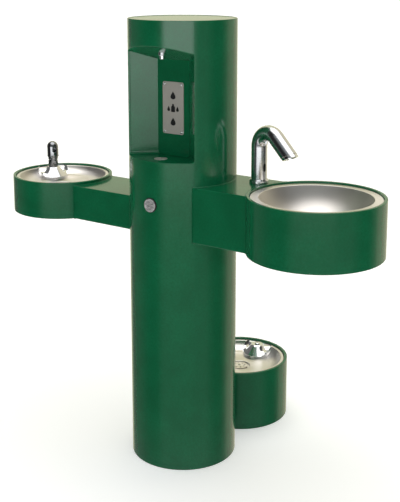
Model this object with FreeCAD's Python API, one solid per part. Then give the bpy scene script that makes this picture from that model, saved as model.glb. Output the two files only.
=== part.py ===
import FreeCAD, Part
import math
import os

V = FreeCAD.Vector
Z = V(0, 0, 1)

# Outdoor fountain on one round post: drinking bowl on the left arm (-X), hand-wash basin on the
# right arm (+X), bottle-filling alcove in front (-Y), low pet bowl behind (+Y).
# Millimetres. The origin is on the floor at the post's axis.

# Post: 12.75 inch steel pipe
POST_R = 161.9
POST_WALL = 6.4
POST_IN = POST_R - POST_WALL
POST_H = 1352.0
CAP_T = 6.0
CAP_DROP = 0.8
FIT = 0.2                      # gap left between welded or seated pieces
OVERLAP = 0.5                  # how far fused pieces reach into each other

# Base ring with its anchor holes
BASE_T = 12.0
BASE_HOLE_R = 92.0
ANCHOR_PCD = 250.0
ANCHOR_R = 8.0
ANCHOR_COUNT = 4

# Rear access door
DOOR_Z0 = 320.0
DOOR_Z1 = 580.0
DOOR_HALF = 76.0
DOOR_GAP = 1.0
DOOR_TAB = 16.0
DOOR_T = 3.0
DOOR_SCREW_R = 3.0
DOOR_SCREW_LEN = 10.5          # below the skin
DOOR_SCREW_PLAY = 0.1
DOOR_HEAD_R = 6.0
DOOR_HEAD_TIP_R = 4.0
DOOR_HEAD_T = 2.6              # washer and head, each
DOOR_HEAD_SINK = 0.4

# Alcove, seen from above: a flat back and two splayed sides
ALCOVE_Z = 948.0
ALCOVE_BACK_Y = -47.0
ALCOVE_BACK_HALF = 57.0
ALCOVE_FRONT_Y = -109.0
ALCOVE_FRONT_HALF = 120.0
ALCOVE_TOP_Z = 1232.0          # ceiling height at the back
ALCOVE_SLOPE = 0.413           # rise of the ceiling per millimetre towards the front
ALCOVE_CORNER = 8.0
SHEET = 3.0

# Alcove fittings
NOZZLE_Y = -100.0
NOZZLE_TIP_Z = 1238.0
NOZZLE_TOP_Z = 1288.0
NOZZLE_R = 8.0
NOZZLE_BORE_R = 4.5
FLANGE_R = 12.0
FLANGE_T = 3.0
DRAIN_Y = -110.0
DRAIN_R = 20.0
DRAIN_HOLES = 6
DRAIN_RING_R = 11.0
DRAIN_HOLE_R = 2.6
DRAIN_DISC_Z = ALCOVE_Z - 1.5
DRAIN_CUP_Z = ALCOVE_Z - 2.0
DRAIN_CUP_H = 12.0
DRAIN_LEVEL_Z = 900.0
DRAIN_BEND = 24.0
PLATE_Z = 1090.0
PLATE_W = 76.0
PLATE_H = 155.0
PLATE_T = 1.6
PLATE_CORNER = 6.0
PLATE_SCREW_R = 3.6
PLATE_SCREW_IN = 7.0           # from the plate's edges
PLATE_SCREW_H = 2.0
PLATE_SCREW_LEN = 9.0

# Push buttons, all three alike
BUTTON_R = 19.4
BEZEL_BORE = 19.8
BEZEL_R = 22.0
BEZEL_PROUD = 2.2
BUTTON_PROUD = 4.6
BUTTON_T = 5.0
BUTTON_CHAMFER = 1.2
BEZEL_LEN = 16.0
BEZEL_NUT_T = 5.0
BEZEL_NUT_GROW = 6.0
BEZEL_NUT_Y = 13.0             # depths below the skin
BEZEL_PLAY = 0.1
BUTTON_TRAVEL = 4.0
STEM_R = 6.0
STEM_LEN = 46.0
STEM_CLEARANCE = 0.05
VALVE_R = 21.6
VALVE_FRONT = 20.0
VALVE_GUIDE = 34.0
VALVE_SHOULDER = 2.0
VALVE_BACK = 66.0              # depth of the valve's inner end below the skin
SPRING_R = 9.0
SPRING_WIRE = 1.6
SPRING_TURNS = 13
SPRING_FRONT = 8.0
SPRING_POCKET = 14.0
BUTTON_Z = 819.0
LEFT_BUTTON_Z = 756.0

# Left drinking drum and arm
LEFT_X = -492.3
LEFT_R = 161.9
LEFT_RIM = 826.9
LEFT_ARM_HALF = 94.7
LEFT_ARM_TOP = 816.4
LEFT_BOTTOM = 710.0

# Right hand-wash drum and arm
RIGHT_X = 455.3
RIGHT_R = 195.0
RIGHT_RIM = 877.8
RIGHT_ARM_HALF = 114.0
RIGHT_ARM_TOP = 876.5
RIGHT_BOTTOM = 712.0

# Rear pet drum, tangent to the post
PET_R = 161.9
PET_Y = POST_R + PET_R + 0.3
PET_RIM = 195.3

DRUM_WALL = 9.5
ARM_WALL = 4.8
COVER_T = 3.0
COVER_RISE = 2.0
COVER_SCREW_R = 3.0
COVER_SCREW_LEN = 9.0
COVER_HEAD_R = 5.5
COVER_HEAD_T = 1.6
COVER_SCREW_IN = 14.0          # from the cover's rim
PORT_R = 32.0                  # pipe way between post, arms and drums
PORT_Z = 752.0
PET_PORT_Z = 92.0

# Pressed bowls
FLANGE_DROP = 5.0              # flange below the drum's rim
BOWL_SHEET = 1.5
BOWL_R = 141.0
BOWL_PROFILE = ((BOWL_R, 0.0), (124.0, -27.0), (35.5, -33.6))
BOWL_FLOOR = 33.6
SEAT_R = 35.5
SEAT_DROP = 5.0
BOWL_FILLET = 18.0
BASIN_R = 160.0
BASIN_DEPTH = 110.0
STRAINER_R = 27.5
STRAINER_T = 2.0
STRAINER_HOLES = 8
STRAINER_HOLE_R = 3.0
STRAINER_RING = 0.66           # holes' circle, as a share of the strainer's radius
STRAINER_UP = 3.0              # above the drain seat
WASTE_R = 16.0
WASTE_BORE = 13.0
WASTE_Z = 740.0
PET_WASTE_Z = 88.0

# Conical mounds that carry the bubbler and the pet jet
MOUND_AT = 116.0               # from the bowl's centre
MOUND_TOP_R = 19.5
MOUND_H = 33.0
MOUND_WALL = 3.0
LEFT_MOUND_ANGLE = 149.2
PET_MOUND_ANGLE = 90.0
SHANK_R = 6.0

# Bubbler
BUBBLER_R = 16.0
BUBBLER_BASE_H = 36.0
BUBBLER_SHANK = 52.0
NECK_R = 7.0
NECK_H = 10.0
JET_R = 5.0
JET_LEN = 14.0
JET_UP = 8.0                   # above the turned base
JET_LEAN = 0.5                 # radians off upright
WATER_R = 2.5
HOOD_R = 18.5
HOOD_H = 86.0
HOOD_WALL = 3.0
HOOD_GAP = 1.0
HOOD_FOOT_R = 7.6
HOOD_FOOT_UP = 6.0
MOUTH_R = 13.0
MOUTH_UP = 22.0
MOUTH_LEAN = 1.25

# Pet jet
PET_JET_R = 9.0
PET_JET_H = 4.0
PET_JET_ROUND = 1.5
PET_JET_SHANK = 39.0
PET_WATER_R = 2.0

# Sensor tap
TAP_X = 232.4
TAP_Y = 59.5
TAP_R = 23.4
TAP_WALL = 3.0
TAP_FOOT_R = 28.6
TAP_FOOT_H = 12.0
TAP_BEND_Z = 985.7
TAP_BEND_R = 42.0
TAP_DROP = 41.0                # outlet leg, degrees below level
TAP_LEG = 78.2
TAP_MOUTH = 25.0               # outlet face, degrees from level
AERATOR_H = 9.0
SENSOR_Z = 924.0
NUT_R = 15.0
NUT_H = 10.0
NUT_SHANK_R = 8.0

# Pipes inside the post
STACK_Y = 30.0
STACK_R = 25.0
STACK_BORE = 22.0
STACK_FOOT = 5.0
STACK_TOP = 860.0
SOCKET_R = 25.2
SOCKET_LEN = 50.0
SOCKET_WALL = 4.0
RISER_X = 50.0
RISER_Y = 62.0
RISER_R = 8.0
RISER_BORE = 6.5
INLET_R = 8.1
INLET_LEN = 20.0
INLET_WALL = 3.0
INLET_COLLAR = 5.0
VALVE_Z0 = 430.0
VALVE_Z1 = 490.0
MANIFOLD_Z = 690.0
MANIFOLD_H = 30.0
MANIFOLD_HALF = 28.0
MANIFOLD_DEPTH = 15.0          # half of it

# Shut-off valve and its lever
BALL_R = 18.0
BALL_END_R = 12.5
GLAND_R = 9.0
GLAND_LEN = 24.0
SPINDLE_R = 4.0
SPINDLE_LEN = 12.0
LEVER_HALF = 7.0
LEVER_T = 3.0
LEVER_LEN = 72.0
LEVER_TAIL = 8.0
LEVER_GAP = 0.5
LEVER_BOLT_R = 5.0

# Routes of the supply tubes
TUBE_R = 5.0
TUBE_Y = 70.0                  # beside the manifold
TUBE_SIDE = 24.0               # through the arms
TUBE_LEVEL = 758.0
LEFT_FEED_X = -80.0
BOX_FEED_X = 185.0
TAP_FEED_Y = 30.0
TAP_FEED_Z = 800.0
TAP_FEED_TOP = 812.0
FILLER_FEED_Y = -50.0
FILLER_FEED_Z = 780.0
VALVE_PORT_Y = 118.0
NOZZLE_FEED_X = 45.0
NOZZLE_FEED_Y = -20.0
NOZZLE_FEED_Z = 868.0
NOZZLE_FEED_MID_Y = -60.0
NOZZLE_FEED_TOP = 1310.0
PET_FEED_X = 24.0
PET_FEED_HIGH = 760.0
PET_FEED_LOW = 100.0
PET_FEED_Y = 400.0
BUBBLER_FEED_Y = 104.0
BOX_LOW = (165.0, -50.0, 775.0)   # the tap's control box, inside the right arm
BOX_HIGH = (210.0, 50.0, 840.0)


def cylinder(radius, height, at, axis=Z):
    return Part.makeCylinder(radius, height, V(*at), V(*axis))


def tube(outer, inner, height, at, axis=Z):
    return cylinder(outer, height, at, axis).cut(cylinder(inner, height, at, axis))


def block(low, high):
    size = [b - a for a, b in zip(low, high)]
    return Part.makeBox(size[0], size[1], size[2], V(*low))


def prism(points, z0, z1):
    outline = Part.makePolygon([V(x, y, z0) for x, y in points + points[:1]])
    return Part.Face(outline).extrude(V(0, 0, z1 - z0))


def turned(points):
    """Solid made by turning a closed (radius, height) outline about Z."""
    outline = Part.makePolygon([V(r, 0, z) for r, z in points + points[:1]])
    return Part.Face(outline).revolve(V(0, 0, 0), Z, 360)


def run(points, radius, bend):
    """Round bar along straight runs that are joined by tangent elbows."""
    path = [V(*p) for p in points]
    pieces = []
    start = path[0]
    for i in range(1, len(path) - 1):
        arrive = (path[i] - path[i - 1]).normalize()
        leave = (path[i + 1] - path[i]).normalize()
        turn = arrive.getAngle(leave)
        back = bend * math.tan(turn / 2)
        entry = path[i] - arrive * back
        axis = arrive.cross(leave).normalize()
        centre = entry + axis.cross(arrive) * bend
        pieces.append(Part.makeCylinder(radius, (entry - start).Length, start, arrive))
        disc = Part.Face(Part.Wire(Part.makeCircle(radius, entry, arrive)))
        pieces.append(disc.revolve(centre, axis, math.degrees(turn)))
        start = path[i] + leave * back
    last = path[-1] - start
    pieces.append(Part.makeCylinder(radius, last.Length, start, last))
    return pieces[0].fuse(pieces[1:]).removeSplitter()


def pipe(points, outer, inner, bend):
    return run(points, outer, bend).cut(run(points, inner, bend))


def moved(shape, at, angle=0.0):
    """A copy turned about Z and then shifted."""
    copy = shape.copy()
    copy.rotate(V(0, 0, 0), Z, angle)
    copy.translate(V(*at))
    return copy


def save(name, *solids):
    shape = solids[0] if len(solids) == 1 else Part.Compound(list(solids))
    print(name, shape.isValid(), len(shape.Solids), round(shape.Volume))
    shape.exportStep("parts/" + name + ".step")


def alcove_outline(grow):
    """Plan of the alcove, carried on along its splay past the post's skin."""
    splay_x = ALCOVE_FRONT_HALF - ALCOVE_BACK_HALF
    splay_y = ALCOVE_FRONT_Y - ALCOVE_BACK_Y
    half = ALCOVE_BACK_HALF + grow * 0.65
    back = ALCOVE_BACK_Y + grow
    far = 2.2
    front = (half + grow + splay_x * far, ALCOVE_BACK_Y + splay_y * far)
    return [(-half, back), (half, back), front, (-front[0], front[1])]


def below_ceiling(lift):
    """Everything under the sloping ceiling, raised by lift."""
    y0 = -400.0
    y1 = 100.0
    z0 = ALCOVE_TOP_Z + lift + ALCOVE_SLOPE * (ALCOVE_BACK_Y - y0)
    z1 = ALCOVE_TOP_Z + lift + ALCOVE_SLOPE * (ALCOVE_BACK_Y - y1)
    side = [V(-300, y0, 0), V(-300, y1, 0), V(-300, y1, z1), V(-300, y0, z0), V(-300, y0, 0)]
    return Part.Face(Part.makePolygon(side)).extrude(V(600, 0, 0))


def alcove_space(grow=0.0):
    """The hollow of the alcove; grow gives the outside of its sheet."""
    space = prism(alcove_outline(grow), ALCOVE_Z - grow, POST_H)
    space = space.common(below_ceiling(grow))
    low = [e for e in space.Edges if is_foot_of_side(e, ALCOVE_Z - grow)]
    return space.makeFillet(ALCOVE_CORNER + grow, low)


def is_foot_of_side(edge, z):
    """True for the two slanting edges where the sides meet the floor."""
    a, b = [v.Point for v in edge.Vertexes[:2]]
    level = abs(a.z - z) < 0.01 and abs(b.z - z) < 0.01
    return level and abs(a.x - b.x) > 1 and abs(a.y - b.y) > 1


def wall_hole(radius, at, axis, length=60.0):
    """Cutter for a round hole, centred on the skin."""
    start = V(*at) - V(*axis) * (length / 2)
    return Part.makeCylinder(radius, length, start, V(*axis))


def pedestal():
    post = tube(POST_R, POST_IN, POST_H, (0, 0, 0))
    door = block((-DOOR_HALF, 0, DOOR_Z0), (DOOR_HALF, POST_R + 5, DOOR_Z1))
    holes = [
        alcove_space(),
        wall_hole(PORT_R, (POST_R, 0, PORT_Z), (1, 0, 0)),
        wall_hole(PORT_R, (-POST_R, 0, PORT_Z), (1, 0, 0)),
        wall_hole(PORT_R, (0, POST_R, PET_PORT_Z), (0, 1, 0)),
        wall_hole(BEZEL_R + BEZEL_PLAY, (0, -POST_R, BUTTON_Z), (0, 1, 0)),
        wall_hole(BEZEL_R + BEZEL_PLAY, (0, POST_R, BUTTON_Z), (0, 1, 0)),
        door,
    ]
    skin = post.cut(holes)
    behind = tube(POST_R - DOOR_T - FIT, POST_IN - DOOR_T, DOOR_Z1 - DOOR_Z0, (0, 0, DOOR_Z0))
    tabs = []
    for x in (-DOOR_HALF, DOOR_HALF - DOOR_TAB):
        for z in (DOOR_Z0, DOOR_Z1 - DOOR_TAB):
            corner = block((x - OVERLAP, 0, z), (x + DOOR_TAB + OVERLAP, POST_R, z + DOOR_TAB))
            tabs.append(behind.common(corner))
    skin = skin.fuse(tabs)
    save("pedestal_tube", skin.cut([screw_shank(x, z) for x, z in door_screws()]))
    save("pedestal_cap", cylinder(POST_IN - FIT, CAP_T, (0, 0, POST_H - CAP_DROP - CAP_T)))


def base_ring():
    ring = tube(POST_IN - FIT, BASE_HOLE_R, BASE_T, (0, 0, 0))
    holes = []
    for i in range(ANCHOR_COUNT):
        a = math.radians(45 + i * 360 / ANCHOR_COUNT)
        at = (ANCHOR_PCD / 2 * math.cos(a), ANCHOR_PCD / 2 * math.sin(a), 0)
        holes.append(cylinder(ANCHOR_R, BASE_T, at))
    save("base_ring", ring.cut(holes))


def door_screws():
    inset = DOOR_TAB / 2
    x = DOOR_HALF - inset
    return [(i * x, z) for i in (-1, 1) for z in (DOOR_Z0 + inset, DOOR_Z1 - inset)]


def screw_shank(x, z):
    return cylinder(DOOR_SCREW_R, 60, (x, POST_R - 60, z), (0, 1, 0))


def access_door():
    height = DOOR_Z1 - DOOR_Z0 - 2 * DOOR_GAP
    plate = tube(POST_R, POST_R - DOOR_T, height, (0, 0, DOOR_Z0 + DOOR_GAP))
    half = DOOR_HALF - DOOR_GAP
    plate = plate.common(block((-half, 0, 0), (half, POST_R, POST_H)))
    save("access_door", plate.cut([screw_shank(x, z) for x, z in door_screws()]))
    screws = []
    for x, z in door_screws():
        skin_y = math.sqrt(POST_R**2 - x**2)
        start = (x, skin_y - DOOR_SCREW_LEN, z)
        shank = cylinder(DOOR_SCREW_R - DOOR_SCREW_PLAY, DOOR_SCREW_LEN + OVERLAP, start, (0, 1, 0))
        top = V(x, skin_y + DOOR_HEAD_T, z)
        head = Part.makeCone(DOOR_HEAD_R, DOOR_HEAD_TIP_R, DOOR_HEAD_T, top, V(0, 1, 0))
        seat = (x, skin_y - DOOR_HEAD_SINK, z)
        washer = cylinder(DOOR_HEAD_R, DOOR_HEAD_T + DOOR_HEAD_SINK, seat, (0, 1, 0))
        screws.append(shank.fuse([head, washer]).cut(post_skin_band(z)))
    save("access_door_screws", *screws)


def post_skin_band(z):
    """The door's own thickness round one screw, so that the head seats on the curve."""
    half = 10.0
    band = tube(POST_R, POST_IN - 2 * DOOR_T, 2 * half, (0, 0, z - half))
    x = DOOR_HALF - DOOR_TAB / 2
    return band.cut([cylinder(DOOR_SCREW_R, POST_R, (i * x, 0, z), (0, 1, 0)) for i in (-1, 1)])


def alcove():
    inside = cylinder(POST_IN - FIT, POST_H, (0, 0, 0))
    shell = alcove_space(SHEET).common(inside).cut(alcove_space())
    floor_top = ALCOVE_Z + ALCOVE_CORNER + 1
    under = block((-200, -200, 0), (200, 200, floor_top))
    shank_hole = cylinder(NUT_SHANK_R + FIT, 200, (0, NOZZLE_Y, ALCOVE_Z + 150))
    drain_hole = cylinder(DRAIN_R + FIT, 60, (0, DRAIN_Y, ALCOVE_Z - 30))
    lid = shell.cut(below_ceiling(0))
    walls = shell.common(below_ceiling(0)).cut(under)
    save("alcove_liner", walls.cut(plate_screw_holes()))
    save("alcove_ceiling", lid.cut(shank_hole))
    save("alcove_floor", shell.common(under).cut(drain_hole))


def plate_screw_places():
    x = PLATE_W / 2 - PLATE_SCREW_IN
    z = PLATE_H / 2 - PLATE_SCREW_IN
    return [(i * x, PLATE_Z + k * z) for i in (-1, 1) for k in (-1, 1)]


def plate_screw_holes():
    r = PLATE_SCREW_R / 2
    return [cylinder(r, 30, (x, ALCOVE_BACK_Y - 15, z), (0, 1, 0)) for x, z in plate_screw_places()]


def sign_plate():
    low = (-PLATE_W / 2, ALCOVE_BACK_Y - PLATE_T - FIT, PLATE_Z - PLATE_H / 2)
    high = (PLATE_W / 2, ALCOVE_BACK_Y - FIT, PLATE_Z + PLATE_H / 2)
    plate = block(low, high)
    corners = [e for e in plate.Edges if abs(e.tangentAt(e.FirstParameter).y) > 0.9]
    save("sign_plate", plate.makeFillet(PLATE_CORNER, corners).cut(plate_screw_holes()))
    front = ALCOVE_BACK_Y - PLATE_T - FIT
    screws = []
    for x, z in plate_screw_places():
        tip_r = PLATE_SCREW_R * 0.6
        head = Part.makeCone(PLATE_SCREW_R, tip_r, PLATE_SCREW_H, V(x, front, z), V(0, -1, 0))
        shank = cylinder(PLATE_SCREW_R / 2 - DOOR_SCREW_PLAY, PLATE_SCREW_LEN, (x, front, z), (0, 1, 0))
        screws.append(head.fuse(shank))
    save("sign_plate_screws", *screws)


def nozzle():
    ceiling = ALCOVE_TOP_Z + ALCOVE_SLOPE * (ALCOVE_BACK_Y - NOZZLE_Y)
    tip = cylinder(NOZZLE_R, NOZZLE_TOP_Z - NOZZLE_TIP_Z, (0, NOZZLE_Y, NOZZLE_TIP_Z))
    flange = cylinder(FLANGE_R, 2 * FLANGE_R, (0, NOZZLE_Y, ceiling - FLANGE_R))
    under = below_ceiling(-FIT).cut(below_ceiling(-FIT - FLANGE_T))
    body = tip.fuse(flange.common(under)).removeSplitter()
    bore = cylinder(NOZZLE_BORE_R, POST_H, (0, NOZZLE_Y, NOZZLE_TIP_Z - 1))
    save("filler_nozzle", body.cut(bore))
    return ceiling


def alcove_drain():
    disc = cylinder(DRAIN_R, STRAINER_T, (0, DRAIN_Y, DRAIN_DISC_Z))
    holes = strainer_holes(0, DRAIN_Y, ALCOVE_Z, DRAIN_HOLES, DRAIN_RING_R, DRAIN_HOLE_R)
    save("alcove_strainer", disc.cut(holes))
    points = [
        (0, DRAIN_Y, DRAIN_CUP_Z),
        (0, DRAIN_Y, DRAIN_LEVEL_Z),
        (0, STACK_Y, DRAIN_LEVEL_Z),
        (0, STACK_Y, STACK_TOP + FIT),
    ]
    body = pipe(points, WASTE_R, WASTE_BORE, DRAIN_BEND)
    cup = tube(DRAIN_R - FIT, WASTE_BORE, DRAIN_CUP_H, (0, DRAIN_Y, DRAIN_CUP_Z - DRAIN_CUP_H))
    save("alcove_drain_pipe", body.fuse(cup))


def strainer_holes(x, y, z, count, ring_r, hole_r):
    holes = []
    for i in range(count):
        a = 2 * math.pi * i / count
        at = (x + ring_r * math.cos(a), y + ring_r * math.sin(a), z - 20)
        holes.append(cylinder(hole_r, 40, at))
    return holes


def push_button(name, skin_x, skin_y, z, facing):
    """Button, bezel and valve in a frame with the skin at Y = 0 and outside at -Y."""
    turn = 0.0 if facing < 0 else 180.0
    axis = (0, 1, 0)
    place = (skin_x, skin_y, z)
    head = cylinder(BUTTON_R, BUTTON_T, (0, -BUTTON_PROUD, 0), axis)
    face_edge = [e for e in head.Edges if abs(e.CenterOfMass.y + BUTTON_PROUD) < 0.01][:1]
    head = head.makeChamfer(BUTTON_CHAMFER, face_edge)
    stem = cylinder(STEM_R, STEM_LEN, (0, 0, 0), axis)
    save(name + "_button", moved(head.fuse(stem).removeSplitter(), place, turn))
    bezel = tube(BEZEL_R, BEZEL_BORE, BEZEL_LEN, (0, -BEZEL_PROUD, 0), axis)
    nut = tube(BEZEL_R + BEZEL_NUT_GROW, BEZEL_R - 1, BEZEL_NUT_T, (0, BEZEL_NUT_Y, 0), axis)
    save(name + "_button_bezel", moved(bezel.fuse(nut), place, turn))
    front = (0, VALVE_FRONT, 0)
    valve = cylinder(VALVE_R, VALVE_BACK - VALVE_FRONT, front, axis)
    pocket = cylinder(SPRING_R + SPRING_WIRE, SPRING_POCKET, front, axis)
    guide = cylinder(STEM_R + STEM_CLEARANCE, VALVE_GUIDE, front, axis)
    shoulder_y = VALVE_FRONT + FIT - VALVE_SHOULDER
    shoulder = tube(BEZEL_R, BEZEL_BORE, VALVE_SHOULDER, (0, shoulder_y, 0), axis)
    body = valve.fuse(shoulder).cut([pocket, guide])
    save(name + "_valve", moved(body, place, turn))
    return moved(button_spring(), place, turn)


def button_spring():
    """Closed coils round the stem, drawn at the length that they have when pressed."""
    outside = []
    inside = []
    for i in range(2 * SPRING_TURNS + 1):
        swell = SPRING_WIRE / 2 if i % 2 else SPRING_WIRE / 5
        y = i * SPRING_WIRE / 2
        outside.append((SPRING_R + swell, y))
        inside.append((SPRING_R - swell, y))
    coil = turned(outside + inside[::-1])
    coil.rotate(V(0, 0, 0), V(1, 0, 0), -90)
    coil.translate(V(0, SPRING_FRONT, 0))
    return coil


def buttons():
    springs = [
        push_button("filler", 0, -POST_R, BUTTON_Z, -1),
        push_button("pet", 0, POST_R, BUTTON_Z, 1),
        push_button("left", LEFT_X, LEFT_R, LEFT_BUTTON_Z, 1),
    ]
    save("button_springs", *springs)


def arm(name, drum_x, drum_r, half, bottom, top):
    """Box section saddle-cut to the post and to the drum."""
    x0 = min(0, drum_x)
    x1 = max(0, drum_x)
    outside = block((x0, -half, bottom), (x1, half, top))
    w = ARM_WALL
    inside = block((x0, -half + w, bottom + w), (x1, half - w, top - w))
    post = cylinder(POST_R + FIT, POST_H, (0, 0, 0))
    drum = cylinder(drum_r + FIT, POST_H, (drum_x, 0, 0))
    beam = outside.cut([inside, post, drum])
    if name == "right":
        beam = beam.cut(cylinder(NUT_SHANK_R + FIT, 40, (TAP_X, TAP_Y, top - 20)))
    save(name + "_arm", beam)


def drum(name, x, y, radius, bottom, rim, holes):
    wall = tube(radius, radius - DRUM_WALL, rim - bottom, (x, y, bottom))
    save(name + "_drum", wall.cut(holes))


def cover(name, x, radius, bottom):
    z = bottom + COVER_RISE
    disc = cylinder(radius - DRUM_WALL - FIT, COVER_T, (x, 0, z))
    places = cover_screw_places(x, radius)
    holes = [cylinder(COVER_SCREW_R + FIT, 4 * COVER_T, (px, py, z - COVER_T)) for px, py in places]
    save(name + "_bottom_cover", disc.cut(holes))
    screws = []
    for px, py in places:
        head = cylinder(COVER_HEAD_R, COVER_HEAD_T, (px, py, z - COVER_HEAD_T - FIT))
        shank = cylinder(COVER_SCREW_R, COVER_SCREW_LEN, (px, py, z - OVERLAP))
        screws.append(head.fuse(shank))
    return screws


def cover_screw_places(x, radius):
    ring_r = radius - DRUM_WALL - COVER_SCREW_IN
    angles = [math.radians(a) for a in (30, 150, 270)]
    return [(x + ring_r * math.cos(a), ring_r * math.sin(a)) for a in angles]


def bowl_outline(grow):
    """Half section of the dish, from the axis out and back; grow gives its outside."""
    points = [(0, 0)]
    for r, z in BOWL_PROFILE:
        points.append((r + grow, z - (grow if z < 0 else 0)))
    points.append((0, -BOWL_FLOOR - grow))
    return points


def dish(grow):
    body = turned(bowl_outline(grow))
    knee_z = BOWL_PROFILE[1][1] - grow
    knee = [e for e in body.Edges if abs(e.BoundBox.ZMin - knee_z) < 0.01]
    knee = [e for e in knee if abs(e.BoundBox.ZMax - knee_z) < 0.01]
    return body.makeFillet(BOWL_FILLET, knee[:1])


def small_bowl(name, x, y, rim, mound_angle):
    """Pressed dish with its flange, drain seat and shank hole, and the mound on it."""
    top = rim - FLANGE_DROP
    hollow = dish(0.0)
    ring_r = LEFT_R - DRUM_WALL - FIT
    flange = tube(ring_r, BOWL_R, BOWL_SHEET, (0, 0, -BOWL_SHEET))
    seat = tube(SEAT_R + BOWL_SHEET, WASTE_R, BOWL_SHEET, (0, 0, -BOWL_FLOOR - SEAT_DROP - BOWL_SHEET))
    seat_wall = tube(SEAT_R + BOWL_SHEET, SEAT_R, SEAT_DROP + 1, (0, 0, -BOWL_FLOOR - SEAT_DROP - 1))
    seat_hole = cylinder(SEAT_R, 20, (0, 0, -BOWL_FLOOR - 10))
    body = dish(BOWL_SHEET).fuse(flange).cut(hollow).cut(seat_hole).fuse([seat, seat_wall])
    a = math.radians(mound_angle)
    mx = MOUND_AT * math.cos(a)
    my = MOUND_AT * math.sin(a)
    body = body.cut(cylinder(SHANK_R + FIT, 80, (mx, my, -70)))
    save(name + "_bowl", moved(body.removeSplitter(), (x, y, top)))
    cone = Part.makeCone(MOUND_TOP_R + MOUND_H, MOUND_TOP_R, MOUND_H, V(mx, my, FLANGE_DROP - MOUND_H))
    core = cone.copy()
    core.translate(V(0, 0, -MOUND_WALL))
    room = hollow.fuse(cylinder(BOWL_R, FLANGE_DROP, (0, 0, 0)))
    bore = cylinder(SHANK_R + FIT, 40, (mx, my, -20))
    mound = cone.cut([core, bore]).common(room)
    base_name = "left_bubbler_base" if name == "left" else "pet_jet_base"
    save(base_name, moved(largest(mound), (x, y, top)))
    return (x + mx, y + my)


def largest(shape):
    return max(shape.Solids, key=lambda s: s.Volume)


def strainer(name, x, y, z, radius):
    disc = cylinder(radius, STRAINER_T, (x, y, z))
    holes = strainer_holes(x, y, z, STRAINER_HOLES, radius * STRAINER_RING, STRAINER_HOLE_R)
    shank_r = 2.0
    centre = cylinder(shank_r + FIT, 2 * STRAINER_T, (x, y, z - STRAINER_T / 2))
    save(name + "_strainer", disc.cut(holes + [centre]))
    head = Part.makeCone(5.0, 4.0, 2.0, V(x, y, z + STRAINER_T), Z)
    return head.fuse(cylinder(shank_r, 10, (x, y, z + STRAINER_T - 9)))


def bubbler(x, y, rim):
    """Turned chrome body with a slanting jet, under a domed mouth guard open towards the bowl."""
    body = cylinder(BUBBLER_R, BUBBLER_BASE_H, (0, 0, 0))
    shank = cylinder(SHANK_R, BUBBLER_SHANK, (0, 0, -BUBBLER_SHANK))
    neck = Part.makeCone(BUBBLER_R, NECK_R, NECK_H, V(0, 0, BUBBLER_BASE_H), Z)
    lean = (math.sin(JET_LEAN), 0, math.cos(JET_LEAN))
    jet = cylinder(JET_R, JET_LEN, (0, 0, BUBBLER_BASE_H + JET_UP), lean)
    water = cylinder(WATER_R, 4 * BUBBLER_SHANK, (0, 0, -BUBBLER_SHANK - 1))
    solid = body.fuse([shank, neck, jet]).cut(water)
    place = (x, y, rim + FIT)
    save("left_bubbler", moved(solid, place, LEFT_MOUND_ANGLE + 180))
    hood_z = BUBBLER_BASE_H + HOOD_GAP
    dome_z = HOOD_H - HOOD_R
    outer = cylinder(HOOD_R, dome_z - hood_z, (0, 0, hood_z))
    outer = outer.fuse(Part.makeSphere(HOOD_R, V(0, 0, dome_z)))
    inner_r = HOOD_R - HOOD_WALL
    inner = cylinder(inner_r, dome_z - hood_z + 10, (0, 0, hood_z - 10))
    inner = inner.fuse(Part.makeSphere(inner_r, V(0, 0, dome_z)))
    mouth_way = (math.sin(MOUTH_LEAN), 0, math.cos(MOUTH_LEAN))
    mouth = cylinder(MOUTH_R, 60, (0, 0, hood_z + MOUTH_UP), mouth_way)
    keep = cylinder(HOOD_R, HOOD_H, (0, 0, hood_z))
    foot = tube(HOOD_R, HOOD_FOOT_R, HOOD_WALL, (0, 0, hood_z + HOOD_FOOT_UP))
    foot = foot.cut(Part.makeCone(BUBBLER_R + 1, NECK_R + 1, NECK_H, V(0, 0, hood_z), Z))
    hood = outer.common(keep).cut([inner, mouth]).fuse(foot.common(keep))
    save("left_bubbler_hood", moved(largest(hood), place, LEFT_MOUND_ANGLE + 180))


def pet_jet(x, y, rim):
    button = cylinder(PET_JET_R, PET_JET_H, (0, 0, FIT))
    edge = [e for e in button.Edges if abs(e.CenterOfMass.z - PET_JET_H - FIT) < 0.01][:1]
    button = button.makeFillet(PET_JET_ROUND, edge)
    jet = button.fuse(cylinder(SHANK_R, PET_JET_SHANK + 1, (0, 0, -PET_JET_SHANK)))
    water = cylinder(PET_WATER_R, 2 * PET_JET_SHANK, (0, 0, -PET_JET_SHANK - 1))
    save("pet_jet", moved(jet.cut(water), (x, y, rim)))


def basin():
    """Spun basin: a spherical cap with a flat flange inside the drum."""
    top = RIGHT_RIM - FLANGE_DROP

    def cap(radius, depth):
        sphere_r = (radius**2 + depth**2) / (2 * depth)
        ball = Part.makeSphere(sphere_r, V(0, 0, sphere_r - depth))
        return ball.common(cylinder(radius + 1, depth + 1, (0, 0, -depth - 1)))

    flange = tube(RIGHT_R - DRUM_WALL - FIT, BASIN_R, BOWL_SHEET, (0, 0, -BOWL_SHEET))
    shell = cap(BASIN_R + BOWL_SHEET, BASIN_DEPTH + BOWL_SHEET).fuse(flange).cut(cap(BASIN_R, BASIN_DEPTH))
    seat_z = -BASIN_DEPTH - SEAT_DROP
    hole = cylinder(SEAT_R, 20, (0, 0, seat_z))
    seat = tube(SEAT_R + BOWL_SHEET, WASTE_R, BOWL_SHEET, (0, 0, seat_z - BOWL_SHEET))
    seat_wall = tube(SEAT_R + BOWL_SHEET, SEAT_R, SEAT_DROP + 5, (0, 0, seat_z - BOWL_SHEET))
    save("right_basin", moved(shell.cut(hole).fuse([seat, seat_wall]).removeSplitter(), (RIGHT_X, 0, top)))


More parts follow.
